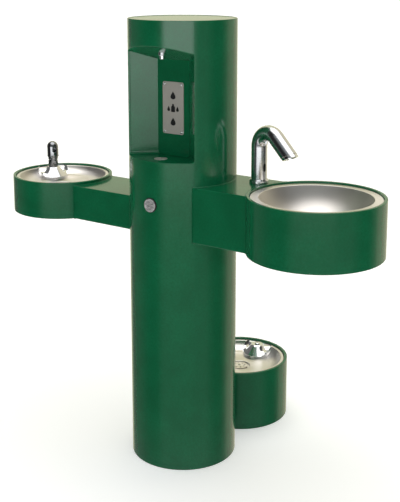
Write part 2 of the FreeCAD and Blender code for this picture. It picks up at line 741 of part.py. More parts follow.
def waste_pipes():
    left_top = LEFT_RIM - FLANGE_DROP - BOWL_FLOOR - SEAT_DROP - FIT
    left = [(LEFT_X, 0, left_top), (LEFT_X, 0, WASTE_Z), (-STACK_R - 6, 0, WASTE_Z)]
    save("left_waste_pipe", pipe(left, WASTE_R - FIT, WASTE_BORE, 25))
    right_top = RIGHT_RIM - FLANGE_DROP - BASIN_DEPTH - SEAT_DROP - FIT
    right = [(RIGHT_X, 0, right_top), (RIGHT_X, 0, WASTE_Z), (STACK_R + 6, 0, WASTE_Z)]
    save("right_waste_pipe", pipe(right, WASTE_R - FIT, WASTE_BORE, 16.5))
    pet_top = PET_RIM - FLANGE_DROP - BOWL_FLOOR - SEAT_DROP - FIT
    pet = [(0, PET_Y, pet_top), (0, PET_Y, PET_WASTE_Z), (0, STACK_Y + STACK_R + 6, PET_WASTE_Z)]
    save("pet_waste_pipe", pipe(pet, WASTE_R - FIT, WASTE_BORE, 25))
    stack = cylinder(STACK_R, STACK_TOP - STACK_FOOT, (0, STACK_Y, STACK_FOOT))
    hub = cylinder(SOCKET_R + SOCKET_WALL, SOCKET_LEN + 6, (0, STACK_Y, STACK_FOOT))
    branches = [
        cylinder(WASTE_R + 3, 30 + STACK_R, (-STACK_R - 30, 0, WASTE_Z), (1, 0, 0)),
        cylinder(WASTE_R + 3, 30 + STACK_R, (STACK_R + 30, 0, WASTE_Z), (-1, 0, 0)),
        cylinder(WASTE_R + 3, 30 + STACK_R, (0, STACK_Y + STACK_R + 30, PET_WASTE_Z), (0, -1, 0)),
    ]
    bores = [
        cylinder(STACK_BORE, STACK_TOP, (0, STACK_Y, STACK_FOOT)),
        cylinder(SOCKET_R, SOCKET_LEN, (0, STACK_Y, STACK_FOOT)),
        cylinder(WASTE_R, 200, (-100, 0, WASTE_Z), (1, 0, 0)),
        cylinder(WASTE_R, 100, (0, STACK_Y, PET_WASTE_Z), (0, 1, 0)),
    ]
    save("waste_stack", stack.fuse([hub] + branches).cut(bores))


def supply():
    """Inlet socket, riser below and above the shut-off valve, and the manifold on top."""
    at = (RISER_X, RISER_Y)
    low = cylinder(RISER_R, VALVE_Z0 - STACK_FOOT - FIT, (*at, STACK_FOOT))
    low = low.fuse(cylinder(INLET_R + INLET_WALL, INLET_LEN + INLET_COLLAR, (*at, STACK_FOOT)))
    low = low.cut([cylinder(RISER_BORE, POST_H, (*at, 0)), cylinder(INLET_R, INLET_LEN, (*at, STACK_FOOT))])
    high = tube(RISER_R, RISER_BORE, MANIFOLD_Z - VALVE_Z1, (*at, VALVE_Z1 + FIT))
    box = block((RISER_X - MANIFOLD_HALF, RISER_Y - MANIFOLD_DEPTH, MANIFOLD_Z),
                (RISER_X + MANIFOLD_HALF, RISER_Y + MANIFOLD_DEPTH, MANIFOLD_Z + MANIFOLD_H))
    save("supply_riser", low, high.fuse(box).cut(cylinder(RISER_BORE, 20, (*at, MANIFOLD_Z - 1))))


def shutoff():
    """Ball valve in the riser, with a gland to the rear that carries the lever's spindle."""
    rear = (0, 1, 0)
    mid = (VALVE_Z0 + VALVE_Z1) / 2
    barrel = cylinder(BALL_END_R, VALVE_Z1 - VALVE_Z0, (RISER_X, RISER_Y, VALVE_Z0))
    gland = cylinder(GLAND_R, GLAND_LEN, (RISER_X, RISER_Y, mid), rear)
    body = Part.makeSphere(BALL_R, V(RISER_X, RISER_Y, mid)).fuse([barrel, gland])
    bore = cylinder(RISER_BORE, 100, (RISER_X, RISER_Y, VALVE_Z0 - 1))
    spindle_y = RISER_Y + SPINDLE_LEN
    hole = cylinder(SPINDLE_R + STEM_CLEARANCE, GLAND_LEN, (RISER_X, spindle_y, mid), rear)
    save("shutoff_valve", body.cut([bore, hole]))
    face = RISER_Y + GLAND_LEN + LEVER_GAP
    lever = block((RISER_X - LEVER_HALF, face, mid - LEVER_TAIL),
                  (RISER_X + LEVER_HALF, face + LEVER_T, mid + LEVER_LEN))
    hub = cylinder(GLAND_R, LEVER_T, (RISER_X, face, mid), rear)
    spindle = cylinder(SPINDLE_R, SPINDLE_LEN + LEVER_T, (RISER_X, face - SPINDLE_LEN, mid), rear)
    bolt = cylinder(LEVER_BOLT_R, LEVER_T, (RISER_X, face + LEVER_T - 0.1, mid), rear)
    save("shutoff_handle", lever.fuse([hub, spindle, bolt]))


def supply_tubes():
    top = MANIFOLD_Z + MANIFOLD_H + FIT
    outlet = MANIFOLD_Z + MANIFOLD_H / 2
    valve_end = POST_R - VALVE_BACK - FIT
    save("filler_supply_tubes", filler_feed(top, valve_end), nozzle_feed())
    save("pet_supply_tubes", pet_feed(top, valve_end), pet_jet_feed())
    save("left_supply_tubes", left_feed(outlet, valve_end), bubbler_feed())
    save("right_supply_tubes", box_feed(outlet), tap_feed())


def left_feed(outlet, valve_end):
    x = RISER_X - MANIFOLD_HALF - FIT
    return run([(x, TUBE_Y, outlet), (LEFT_FEED_X, TUBE_Y, outlet), (LEFT_FEED_X, TUBE_SIDE, outlet),
                (LEFT_FEED_X, TUBE_SIDE, TUBE_LEVEL), (LEFT_X, TUBE_SIDE, TUBE_LEVEL),
                (LEFT_X, valve_end, LEFT_BUTTON_Z)], TUBE_R, 12)


def box_feed(outlet):
    x = RISER_X + 15
    return run([(x, RISER_Y - MANIFOLD_DEPTH - FIT, outlet), (x, TUBE_SIDE, outlet),
                (x, TUBE_SIDE, TUBE_LEVEL), (BOX_FEED_X, TUBE_SIDE, TUBE_LEVEL),
                (BOX_FEED_X, TUBE_SIDE, BOX_LOW[2] - FIT)], TUBE_R, 10)


def tap_feed():
    return run([(BOX_HIGH[0] + FIT, TAP_FEED_Y, TAP_FEED_Z), (TAP_X, TAP_FEED_Y, TAP_FEED_Z),
                (TAP_X, TAP_Y, TAP_FEED_Z), (TAP_X, TAP_Y, TAP_FEED_TOP)], TUBE_R, 9)


def filler_feed(top, valve_end):
    x = RISER_X - 15
    return run([(x, TUBE_Y, top), (x, TUBE_Y, FILLER_FEED_Z), (x, FILLER_FEED_Y, FILLER_FEED_Z),
                (x, FILLER_FEED_Y, BUTTON_Z), (0, FILLER_FEED_Y, BUTTON_Z),
                (0, -valve_end, BUTTON_Z)], TUBE_R, 14)


def nozzle_feed():
    """From the filler valve, behind the alcove and down to the nozzle."""
    start = BUTTON_Z + VALVE_R + FIT
    x = NOZZLE_FEED_X
    y = -VALVE_PORT_Y
    return run([(0, y, start), (0, y, NOZZLE_FEED_Z), (x, y, NOZZLE_FEED_Z),
                (x, NOZZLE_FEED_Y, NOZZLE_FEED_Z), (x, NOZZLE_FEED_Y, NOZZLE_FEED_TOP),
                (0, NOZZLE_FEED_MID_Y, NOZZLE_FEED_TOP), (0, NOZZLE_Y, NOZZLE_FEED_TOP),
                (0, NOZZLE_Y, NOZZLE_TOP_Z + FIT)], TUBE_R, 12)


def pet_feed(top, valve_end):
    x = RISER_X + 18
    return run([(x, TUBE_Y, top), (x, TUBE_Y, BUTTON_Z), (0, TUBE_Y, BUTTON_Z),
                (0, valve_end, BUTTON_Z)], TUBE_R, 12)


def pet_jet_feed():
    """From the pet valve down inside the post and through the low port."""
    jet_y = PET_Y + MOUND_AT
    x = PET_FEED_X
    start = BUTTON_Z - VALVE_R - FIT
    y = VALVE_PORT_Y
    return run([(0, y, start), (0, y, PET_FEED_HIGH), (x, y, PET_FEED_HIGH), (x, y, PET_FEED_LOW),
                (x, PET_FEED_Y, PET_FEED_LOW), (0, jet_y, PET_FEED_LOW),
                (0, jet_y, PET_RIM - PET_JET_SHANK - 1)], TUBE_R, 11)


def bubbler_feed():
    a = math.radians(LEFT_MOUND_ANGLE)
    x = LEFT_X + MOUND_AT * math.cos(a)
    y = MOUND_AT * math.sin(a)
    start = LEFT_X - VALVE_R - FIT
    side = BUBBLER_FEED_Y
    return run([(start, side, LEFT_BUTTON_Z), (x, side, LEFT_BUTTON_Z), (x, y, LEFT_BUTTON_Z),
                (x, y, LEFT_RIM - BUBBLER_SHANK)], TUBE_R, 9)


def tap_point(along, z):
    """A point in the tap's own upright plane, which runs through the basin's centre."""
    a = math.atan2(-TAP_Y, RIGHT_X - TAP_X)
    return (TAP_X + along * math.cos(a), TAP_Y + along * math.sin(a), z)


def tap_below(along, z):
    """Everything beyond the slanting outlet face that passes through a point of the plane."""
    slab = block((-80, -80, -160), (80, 80, 0))
    slab.rotate(V(0, 0, 0), V(0, 1, 0), -TAP_MOUTH)
    return moved(slab, tap_point(along, z), math.degrees(math.atan2(-TAP_Y, RIGHT_X - TAP_X)))


def tap():
    drop = math.radians(TAP_DROP)
    corner = TAP_BEND_R * math.tan(math.radians(90 + TAP_DROP) / 2)
    crest = TAP_BEND_Z + corner
    reach = corner * math.cos(drop) + TAP_LEG * math.cos(drop)
    mouth_z = crest - (corner + TAP_LEG) * math.sin(drop)
    over = 30.0
    foot_z = RIGHT_ARM_TOP + FIT
    path = [
        tap_point(0, foot_z + TAP_FOOT_H),
        tap_point(0, crest),
        tap_point(reach + over * math.cos(drop), mouth_z - over * math.sin(drop)),
    ]
    spout = pipe(path, TAP_R, TAP_R - TAP_WALL, TAP_BEND_R)
    step_s = reach - AERATOR_H * math.cos(drop)
    step_z = mouth_z + AERATOR_H * math.sin(drop)
    window = sensor_lens(0.4)
    save("faucet_spout", largest(spout.cut([tap_below(step_s, step_z), window])))
    ring = pipe(path, TAP_R - 0.6, TAP_R - 9, TAP_BEND_R)
    ring = ring.common(tap_below(step_s + FIT, step_z - FIT)).cut(tap_below(reach, mouth_z))
    save("faucet_aerator", largest(ring))
    save("faucet_sensor", sensor_lens(0.0))
    foot = Part.makeCone(TAP_FOOT_R, TAP_FOOT_R - 1.5, TAP_FOOT_H - FIT, V(TAP_X, TAP_Y, foot_z), Z)
    shank = cylinder(NUT_SHANK_R, 62, (TAP_X, TAP_Y, foot_z - 62))
    save("faucet_escutcheon", foot.fuse(shank).cut(cylinder(5.2, 100, (TAP_X, TAP_Y, foot_z - 70))))
    print("tap mouth", round(reach, 1), round(mouth_z, 1))


def sensor_lens(grow):
    """Upright oval window set into the column on the basin side."""
    turn = math.degrees(math.atan2(-TAP_Y, RIGHT_X - TAP_X))
    half_w = 5.0 + grow
    half_h = 7.0
    back = TAP_R - 2.4 - grow
    eyes = [cylinder(half_w, 20, (back, 0, dz), (1, 0, 0)) for dz in (-half_h, half_h)]
    eyes.append(block((back, -half_w, -half_h), (back + 20, half_w, half_h)))
    lens = eyes[0].fuse(eyes[1:]).removeSplitter()
    lens = lens.common(cylinder(TAP_R + 0.2, 60, (0, 0, -30)))
    return moved(lens, (TAP_X, TAP_Y, SENSOR_Z), turn)


def lock_nut(x, y, z):
    corners = [(NUT_R * math.cos(i * math.pi / 3), NUT_R * math.sin(i * math.pi / 3)) for i in range(6)]
    nut = prism(corners, 0, NUT_H).cut(cylinder(NUT_SHANK_R + 0.05, NUT_H, (0, 0, 0)))
    return moved(nut, (x, y, z))


def lock_nuts(ceiling):
    """The nozzle's nut above the alcove and the tap's nut under the arm's top."""
    lean = ALCOVE_SLOPE * NUT_R + SHEET * 1.2
    upper = lock_nut(0, NOZZLE_Y, ceiling + lean)
    lower = lock_nut(TAP_X, TAP_Y, RIGHT_ARM_TOP - ARM_WALL - NUT_H - FIT)
    save("lock_nuts", upper, lower)


def main():
    os.makedirs("parts", exist_ok=True)
    pedestal()
    base_ring()
    access_door()
    alcove()
    sign_plate()
    ceiling = nozzle()
    alcove_drain()
    buttons()
    arm("left", LEFT_X, LEFT_R, LEFT_ARM_HALF, LEFT_BOTTOM, LEFT_ARM_TOP)
    arm("right", RIGHT_X, RIGHT_R, RIGHT_ARM_HALF, RIGHT_BOTTOM, RIGHT_ARM_TOP)
    left_port = wall_hole(PORT_R, (LEFT_X + LEFT_R, 0, PORT_Z), (1, 0, 0))
    left_button = wall_hole(BEZEL_R + BEZEL_PLAY, (LEFT_X, LEFT_R, LEFT_BUTTON_Z), (0, 1, 0))
    right_port = wall_hole(PORT_R, (RIGHT_X - RIGHT_R, 0, PORT_Z), (1, 0, 0))
    pet_port = wall_hole(PORT_R, (0, PET_Y - PET_R, PET_PORT_Z), (0, 1, 0))
    drum("left", LEFT_X, 0, LEFT_R, LEFT_BOTTOM, LEFT_RIM, [left_port, left_button])
    drum("right", RIGHT_X, 0, RIGHT_R, RIGHT_BOTTOM, RIGHT_RIM, [right_port])
    drum("pet", 0, PET_Y, PET_R, 0, PET_RIM, [pet_port])
    screws = cover("left", LEFT_X, LEFT_R, LEFT_BOTTOM) + cover("right", RIGHT_X, RIGHT_R, RIGHT_BOTTOM)
    save("cover_screws", *screws)
    bubbler(*small_bowl("left", LEFT_X, 0, LEFT_RIM, LEFT_MOUND_ANGLE), LEFT_RIM)
    pet_jet(*small_bowl("pet", 0, PET_Y, PET_RIM, PET_MOUND_ANGLE), PET_RIM)
    basin()
    seat = FLANGE_DROP + BOWL_FLOOR + SEAT_DROP - STRAINER_UP
    basin_seat = FLANGE_DROP + BASIN_DEPTH + SEAT_DROP - STRAINER_UP
    heads = [
        strainer("left", LEFT_X, 0, LEFT_RIM - seat, STRAINER_R),
        strainer("pet", 0, PET_Y, PET_RIM - seat, STRAINER_R),
        strainer("right", RIGHT_X, 0, RIGHT_RIM - basin_seat, STRAINER_R),
    ]
    save("strainer_screws", *heads)
    tap()
    lock_nuts(ceiling)
    save("control_box", block(BOX_LOW, BOX_HIGH))
    waste_pipes()
    supply()
    shutoff()
    supply_tubes()


main()
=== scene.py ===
import math

import bmesh
import bpy
import numpy as np
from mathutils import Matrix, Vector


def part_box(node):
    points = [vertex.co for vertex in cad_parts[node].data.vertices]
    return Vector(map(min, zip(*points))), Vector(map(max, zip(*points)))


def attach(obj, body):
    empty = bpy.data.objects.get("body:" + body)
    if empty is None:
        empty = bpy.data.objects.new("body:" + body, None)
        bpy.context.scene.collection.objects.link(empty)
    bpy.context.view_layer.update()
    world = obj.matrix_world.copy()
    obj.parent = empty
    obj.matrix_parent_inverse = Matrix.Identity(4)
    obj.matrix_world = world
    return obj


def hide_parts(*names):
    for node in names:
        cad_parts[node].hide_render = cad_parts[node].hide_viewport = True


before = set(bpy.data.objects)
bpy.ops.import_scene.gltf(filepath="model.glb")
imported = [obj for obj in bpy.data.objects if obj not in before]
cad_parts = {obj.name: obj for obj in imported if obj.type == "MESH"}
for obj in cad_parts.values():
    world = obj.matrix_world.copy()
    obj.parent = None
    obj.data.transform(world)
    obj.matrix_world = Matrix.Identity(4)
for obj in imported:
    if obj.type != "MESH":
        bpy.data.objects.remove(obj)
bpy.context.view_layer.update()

# Outdoor drinking fountain. Shapes are worked out in millimetres and scaled to metres as they are built.
# X runs along the arms, -Y is the bottle alcove's side and Z is up. Sizes come from the frame's own boxes
# or are the small details that the frame leaves out, such as edge rounding, weld beads and lips.
TO_METRES = 0.001
UP = (0, 0, 1)
FRONT = (0, -1, 0)
REAR = (0, 1, 0)

ROOT = "fountain_body"
BASIN_TURNS = 192        # facets round the widest turned pieces
BOWL_TURNS = 160
TURNS = 128
RING_TURNS = 96
SMALL_TURNS = 48         # facets round the smallest ones


# ---------------------------------------------------------------- colours and shader nodes

def srgb(code):
    """Linear colour of an sRGB hex code."""
    channels = [int(code[i:i + 2], 16) / 255 for i in (0, 2, 4)]
    linear = [c / 12.92 if c <= 0.04045 else ((c + 0.055) / 1.055) ** 2.4 for c in channels]
    return (*linear, 1.0)


def add(tree, kind, values=None, **settings):
    """Adds one shader node. values maps each input to a number, or to the output that feeds it."""
    node = tree.nodes.new("ShaderNode" + kind)
    for key, value in settings.items():
        setattr(node, key, value)
    for key, value in (values or {}).items():
        if isinstance(value, bpy.types.NodeSocket):
            tree.links.new(value, node.inputs[key])
        else:
            node.inputs[key].default_value = value
    return node


def start_material(name, slot):
    """An empty material named for the real finish, that knows the record's slot it belongs to."""
    material = bpy.data.materials.new(name)
    material.use_nodes = True
    material.node_tree.nodes.clear()
    material["slot"] = slot
    return material, material.node_tree


def close_material(tree, values):
    """Adds the surface shader with these inputs, and the output."""
    shader = add(tree, "BsdfPrincipled", values)
    add(tree, "OutputMaterial", {"Surface": shader.outputs["BSDF"]})


def place(tree, centre=(0, 0, 0), scale=(1, 1, 1)):
    """Object coordinates in metres, measured from a centre in millimetres and stretched."""
    here = add(tree, "TexCoord").outputs["Object"]
    shift = [-c * TO_METRES for c in centre]
    moved = add(tree, "VectorMath", {0: here, 1: shift}, operation="ADD").outputs[0]
    return add(tree, "VectorMath", {0: moved, 1: scale}, operation="MULTIPLY").outputs[0]


def per_metre(millimetres):
    """Texture scale that gives features of this size."""
    return 1.0 / (millimetres * TO_METRES)


# ---------------------------------------------------------------- finishes

COAT_DEEP = "0A603C"
COAT_LIGHT = "0D6D46"
STEEL_TINT = "E4DFD9"
WAVE_LENGTH = 0.314      # length of one ring of the Wave texture at scale 1


def powder_coat(name, slot, rough_low, rough_high, peel_depth):
    """Polyester powder coat, sprayed and baked: an even semi-gloss skin with fine orange peel. The peel of
    1 to 2 mm is drawn 6 mm across, so that it shows as a soft mottle where the light turns."""
    material, tree = start_material(name, slot)
    at = place(tree)
    peel = add(tree, "TexNoise", {"Vector": at, "Scale": per_metre(6), "Detail": 3.0, "Roughness": 0.6})
    cloud = add(tree, "TexNoise", {"Vector": at, "Scale": per_metre(90), "Detail": 2.0})
    tone = add(tree, "Math", {0: peel.outputs["Fac"], 1: cloud.outputs["Fac"]}, operation="MULTIPLY")
    share = add(tree, "MapRange", {"Value": tone.outputs[0], "From Min": 0.12, "From Max": 0.42})
    colour = add(tree, "Mix", {"Factor": share.outputs[0], 6: srgb(COAT_DEEP), 7: srgb(COAT_LIGHT)},
                 data_type="RGBA")
    rough = add(tree, "MapRange", {"Value": peel.outputs["Fac"], "From Min": 0.3, "From Max": 0.7,
                                   "To Min": rough_low, "To Max": rough_high})
    bump = add(tree, "Bump", {"Height": peel.outputs["Fac"], "Strength": peel_depth, "Distance": 0.0004})
    close_material(tree, {"Base Color": colour.outputs[2], "Roughness": rough.outputs[0],
                          "Normal": bump.outputs["Normal"], "IOR": 1.5})
    return material


def spun_steel(name, slot, axis_at, rough_low, rough_high):
    """304 stainless pressed or spun to shape and rubbed with grit belts on the lathe: fine rings about the
    piece's own axis that stretch each highlight into a wedge. The 0.2 mm rings are drawn 2.4 mm apart."""
    material, tree = start_material(name, slot)
    at = place(tree, (*axis_at, 0))
    rings = add(tree, "TexWave", {"Vector": at, "Scale": WAVE_LENGTH * per_metre(2.4), "Distortion": 1.5,
                                  "Detail": 3.0, "Detail Scale": 2.0},
                wave_type="RINGS", rings_direction="Z")
    smear = add(tree, "TexNoise", {"Vector": at, "Scale": per_metre(35), "Detail": 2.0})
    both = add(tree, "Math", {0: rings.outputs["Fac"], 1: smear.outputs["Fac"]}, operation="MULTIPLY")
    rough = add(tree, "MapRange", {"Value": both.outputs[0], "From Max": 0.7,
                                   "To Min": rough_low, "To Max": rough_high})
    bump = add(tree, "Bump", {"Height": rings.outputs["Fac"], "Strength": 0.025, "Distance": 0.0002})
    along = add(tree, "VectorMath", {0: UP, 1: at}, operation="CROSS_PRODUCT")
    close_material(tree, {"Base Color": srgb(STEEL_TINT), "Metallic": 1.0, "Roughness": rough.outputs[0],
                          "Anisotropic": 0.7, "Tangent": along.outputs[0], "Normal": bump.outputs["Normal"]})
    return material


def polished_chrome(name, tint, rough_low, rough_high):
    """Bright chrome plate over brass or polished steel: a clean mirror with faint wiping haze."""
    material, tree = start_material(name, "polished_chrome")
    haze = add(tree, "TexNoise", {"Vector": place(tree), "Scale": per_metre(18), "Detail": 2.0})
    rough = add(tree, "MapRange", {"Value": haze.outputs["Fac"], "To Min": rough_low, "To Max": rough_high})
    close_material(tree, {"Base Color": srgb(tint), "Metallic": 1.0, "Roughness": rough.outputs[0]})
    return material


def brushed_steel(name, slot, tint, stretch, mirror, rough_low, rough_high):
    """Flat stainless brushed with a grit belt in one direction: short parallel scratches that break up the
    reflection. Scratches of 0.1 mm are drawn 1 mm wide. mirror is the share of the light that is reflected
    as by a mirror; the scratches scatter the rest."""
    material, tree = start_material(name, slot)
    at = place(tree, scale=stretch)
    grain = add(tree, "TexNoise", {"Vector": at, "Scale": per_metre(1), "Detail": 3.0})
    rough = add(tree, "MapRange", {"Value": grain.outputs["Fac"], "From Min": 0.3, "From Max": 0.7,
                                   "To Min": rough_low, "To Max": rough_high})
    bump = add(tree, "Bump", {"Height": grain.outputs["Fac"], "Strength": 0.12, "Distance": 0.0001})
    close_material(tree, {"Base Color": srgb(tint), "Metallic": mirror, "Roughness": rough.outputs[0],
                          "Normal": bump.outputs["Normal"]})
    return material


def moulded_plastic(name, slot, deep, light, roughness, texture_mm):
    """Injection-moulded or extruded plastic: even colour with a fine spark-eroded grain."""
    material, tree = start_material(name, slot)
    grain = add(tree, "TexNoise", {"Vector": place(tree), "Scale": per_metre(texture_mm), "Detail": 3.0})
    share = add(tree, "MapRange", {"Value": grain.outputs["Fac"], "From Min": 0.35, "From Max": 0.65})
    colour = add(tree, "Mix", {"Factor": share.outputs[0], 6: srgb(deep), 7: srgb(light)}, data_type="RGBA")
    bump = add(tree, "Bump", {"Height": grain.outputs["Fac"], "Strength": 0.2, "Distance": 0.0002})
    close_material(tree, {"Base Color": colour.outputs[2], "Roughness": roughness,
                          "Normal": bump.outputs["Normal"]})
    return material


def worked_metal(name, slot, deep, light, rough_low, rough_high, grain_mm):
    """Turned, cast or plated metal: tone and shine that change from grain to grain, as zinc spangle does."""
    material, tree = start_material(name, slot)
    grain = add(tree, "TexVoronoi", {"Vector": place(tree), "Scale": per_metre(grain_mm)})
    share = add(tree, "SeparateColor", {"Color": grain.outputs["Color"]})
    colour = add(tree, "Mix", {"Factor": share.outputs[0], 6: srgb(deep), 7: srgb(light)}, data_type="RGBA")
    rough = add(tree, "MapRange", {"Value": share.outputs[1], "To Min": rough_low, "To Max": rough_high})
    close_material(tree, {"Base Color": colour.outputs[2], "Metallic": 1.0, "Roughness": rough.outputs[0]})
    return material


GREEN = powder_coat("green_polyester_powder_coat", "green_powder_coat", 0.12, 0.2, 0.18)
CAP_GREEN = powder_coat("cap_polyester_powder_coat", "cap_powder_coat", 0.06, 0.1, 0.05)
CHROME = polished_chrome("polished_chrome_plate", "E9EAEB", 0.04, 0.1)
TAP_CHROME = polished_chrome("satin_chrome_plate", "DADBDD", 0.14, 0.2)
HOOD_CHROME = polished_chrome("dark_chrome_plate", "8B8D8F", 0.05, 0.12)
PLATE_STEEL = brushed_steel("brushed_stainless_plate", "brushed_plate", "C6C2BB", (0.06, 1, 1), 0.4,
                            0.35, 0.5)
BUTTON_STEEL = brushed_steel("brushed_stainless_button", "satin_stainless", "DAD9DA", (0.1, 1, 1), 0.6,
                             0.2, 0.32)
# The bezel ring is coloured near black: painted shade that stands for the dark shadow round each push
# button's edge.
SHADE_BLACK_RING = moulded_plastic("black_painted_shade_ring", "black_bezel", "0B0B0C", "141416", 0.35, 1.2)
BLACK_PAINT = moulded_plastic("black_screen_print", "black_bezel", "0C0C0D", "171718", 0.5, 0.8)
WINDOW = moulded_plastic("black_acrylic_window", "sensor_window", "050506", "08080A", 0.06, 3.0)
INSIDE_FINISHES = (
    worked_metal("hot_dip_galvanised_steel", "galvanised_steel", "8E9295", "A9ADB0", 0.35, 0.6, 14),
    worked_metal("zinc_plated_screw", "zinc_fastener", "A9ABA6", "C6C8C4", 0.22, 0.36, 1.5),
    worked_metal("turned_brass", "brass", "B8923F", "CDA64E", 0.24, 0.4, 3),
    worked_metal("drawn_spring_steel", "spring_steel", "77787A", "8C8D90", 0.25, 0.4, 1.2),
    moulded_plastic("white_pvc_waste_pipe", "waste_plastic", "D9D9D4", "E4E4DF", 0.38, 2.5),
    moulded_plastic("blue_polyethylene_tube", "supply_hose", "2D5F93", "386DA4", 0.34, 2.0),
    moulded_plastic("black_abs_box", "control_box_plastic", "17181A", "212224", 0.5, 1.0),
    moulded_plastic("red_vinyl_lever_grip", "handle_grip", "8F1B18", "A5231E", 0.42, 1.4),
)
SHOWN_FINISHES = (GREEN, CAP_GREEN, CHROME, PLATE_STEEL, BUTTON_STEEL, SHADE_BLACK_RING, WINDOW)
FINISHES = {finish["slot"]: finish for finish in SHOWN_FINISHES + INSIDE_FINISHES}
FINISHES["spun_steel"] = BUTTON_STEEL


# ---------------------------------------------------------------- outlines and surfaces

def unit(vector):
    """The vector at length 1."""
    return vector / np.linalg.norm(vector)


def rounded(*corners, closed=False, steps=6):
    """Outline through corners (a, b) or (a, b, radius): straight runs, joined at each corner that has a
    radius by an arc tangent to both. The arc's centre lies on the corner's bisector, radius / sin(half the
    corner's angle) away."""
    points = []
    for i, corner in enumerate(corners):
        here = np.array(corner[:2], float)
        if len(corner) == 2:
            points.append(here[None])
            continue
        before = unit(np.array(corners[i - 1][:2]) - here)
        after = unit(np.array(corners[(i + 1) % len(corners)][:2]) - here)
        half = math.acos(before @ after) / 2
        centre = here + unit(before + after) * corner[2] / math.sin(half)
        arm = here + before * corner[2] / math.tan(half) - centre
        turning = math.copysign(math.pi - 2 * half, before[1] * after[0] - before[0] * after[1])
        a = np.linspace(0, turning, steps)[:, None]
        points.append(centre + np.cos(a) * arm + np.sin(a) * np.array((-arm[1], arm[0])))
    if closed:
        points.append(points[0][:1])
    return np.concatenate(points)


def rounded_box(half_width, half_height, radius):
    """Closed rectangle about the origin with round corners."""
    corners = [(i * half_width, k * half_height, radius) for i, k in ((1, -1), (1, 1), (-1, 1), (-1, -1))]
    return rounded(*corners, closed=True, steps=8)


def finer(outline, step):
    """The same closed outline with points added so that none are further apart than the step."""
    pieces = []
    for a, b in zip(outline[:-1], outline[1:]):
        count = max(1, math.ceil(np.linalg.norm(b - a) / step))
        pieces.append(a + (b - a) * np.linspace(0, 1, count, endpoint=False)[:, None])
    return np.concatenate(pieces + [outline[-1:]])


def thick(line, sheet):
    """Closed outline of a sheet: the line, and the line moved to its right by the sheet's thickness."""
    way = np.gradient(line, axis=0)
    way /= np.linalg.norm(way, axis=1)[:, None]
    under = line + sheet * np.stack([way[:, 1], -way[:, 0]], 1)
    return np.concatenate([line, under[::-1], line[:1]])


def turned(outline, at, axis=UP, turns=TURNS, swell=1.0):
    """The outline's (radius, height) points carried round an axis: at + height * axis + radius * (cos u +
    sin v), with u and v square to the axis. swell multiplies the radius and may differ round the turn."""
    axis = np.array(axis, float)
    u = unit(np.cross(axis, (0.0, 0.6, 0.8)))
    v = np.cross(axis, u)
    a = np.linspace(0, 2 * math.pi, turns + 1)[None, :, None]
    radius = outline[:, :1] * swell * np.ones((1, turns + 1))
    round_it = np.cos(a) * u + np.sin(a) * v
    return np.array(at, float) + outline[:, 1, None, None] * axis + radius[..., None] * round_it


def quads(rows, columns, start=0):
    """Faces between neighbours of a grid of points, as rows of four indices."""
    k = start + np.arange(rows * columns).reshape(rows, columns)
    return np.stack([k[:-1, :-1], k[1:, :-1], k[1:, 1:], k[:-1, 1:]], -1).reshape(-1, 4)


def make_piece(name, material, points, faces, body=ROOT, stands_for=(), bevel=None, sharp=38):
    """One named object from points in millimetres and faces. Points that meet are merged, faces turned
    outwards, and shading weighted by face size so that flats stay flat beside their rounded edges."""
    mesh = bpy.data.meshes.new(name)
    mesh.from_pydata((points * TO_METRES).tolist(), [], faces.tolist())
    shape = bmesh.new()
    shape.from_mesh(mesh)
    bmesh.ops.remove_doubles(shape, verts=shape.verts, dist=2e-6)
    bmesh.ops.recalc_face_normals(shape, faces=shape.faces)
    shape.to_mesh(mesh)
    shape.free()
    mesh.shade_smooth()
    mesh.set_sharp_from_angle(angle=math.radians(sharp))
    mesh.materials.append(material)
    piece = bpy.data.objects.new(name, mesh)
    bpy.context.scene.collection.objects.link(piece)
    if bevel:
        edge = piece.modifiers.new("rounded_edges", "BEVEL")
        edge.width = bevel * TO_METRES
        edge.segments = 3
        edge.limit_method = "ANGLE"
        edge.angle_limit = math.radians(50)
    piece.modifiers.new("flat_shading_weight", "WEIGHTED_NORMAL").keep_sharp = True
    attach(piece, body)
    if stands_for:
        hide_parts(*stands_for)
    return piece


def build(name, material, *grids, **options):
    """One piece from closed grids of points, each a surface of two parameters."""
    points = np.concatenate([g.reshape(-1, 3) for g in grids])
    starts = np.cumsum([0] + [g.shape[0] * g.shape[1] for g in grids])
    faces = [quads(g.shape[0], g.shape[1], start) for g, start in zip(grids, starts)]
    return make_piece(name, material, points, np.concatenate(faces), **options)


def node_box(node):
    """Lowest and highest corner of a CAD node, in millimetres."""
    return [np.array(corner) / TO_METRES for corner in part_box(node)]


def middle_of(node):
    """Middle of a CAD node's box, in millimetres."""
    low, high = node_box(node)
    return (low + high) / 2


# ---------------------------------------------------------------- post

POST_R, _, POST_H = node_box("pedestal_tube")[1]
POST_WALL = 6.4
BAND_ROWS = (6, 5, 8, 6, 4)        # rows of faces between the level lines of the post's skin
DOOR_BAND = 1
ALCOVE_BAND = 3
DOOR_LOW, DOOR_HIGH = node_box("access_door")
DOOR_GAP = 1.0
ALCOVE_Z = node_box("alcove_strainer")[1][2] - 0.5
ALCOVE_BACK_Y = -47.0
ALCOVE_BACK_HALF = 57.0
ALCOVE_SPLAY = (63.0, -62.0)       # direction of its right side, from the back to the front
ALCOVE_TOP_Z = 1232.0              # ceiling at the back
ALCOVE_SLOPE = 0.413
ALCOVE_CORNER = 8.0


def alcove_side_angle(radius):
    """Angle from the front at which the alcove's side meets a cylinder: |back corner + t splay| is the
    radius there."""
    corner = np.array((ALCOVE_BACK_HALF, ALCOVE_BACK_Y))
    splay = np.array(ALCOVE_SPLAY)
    a = splay @ splay
    b = corner @ splay
    c = corner @ corner - radius ** 2
    x, y = corner + splay * (-b + math.sqrt(b * b - a * c)) / a
    return math.atan2(x, -y)


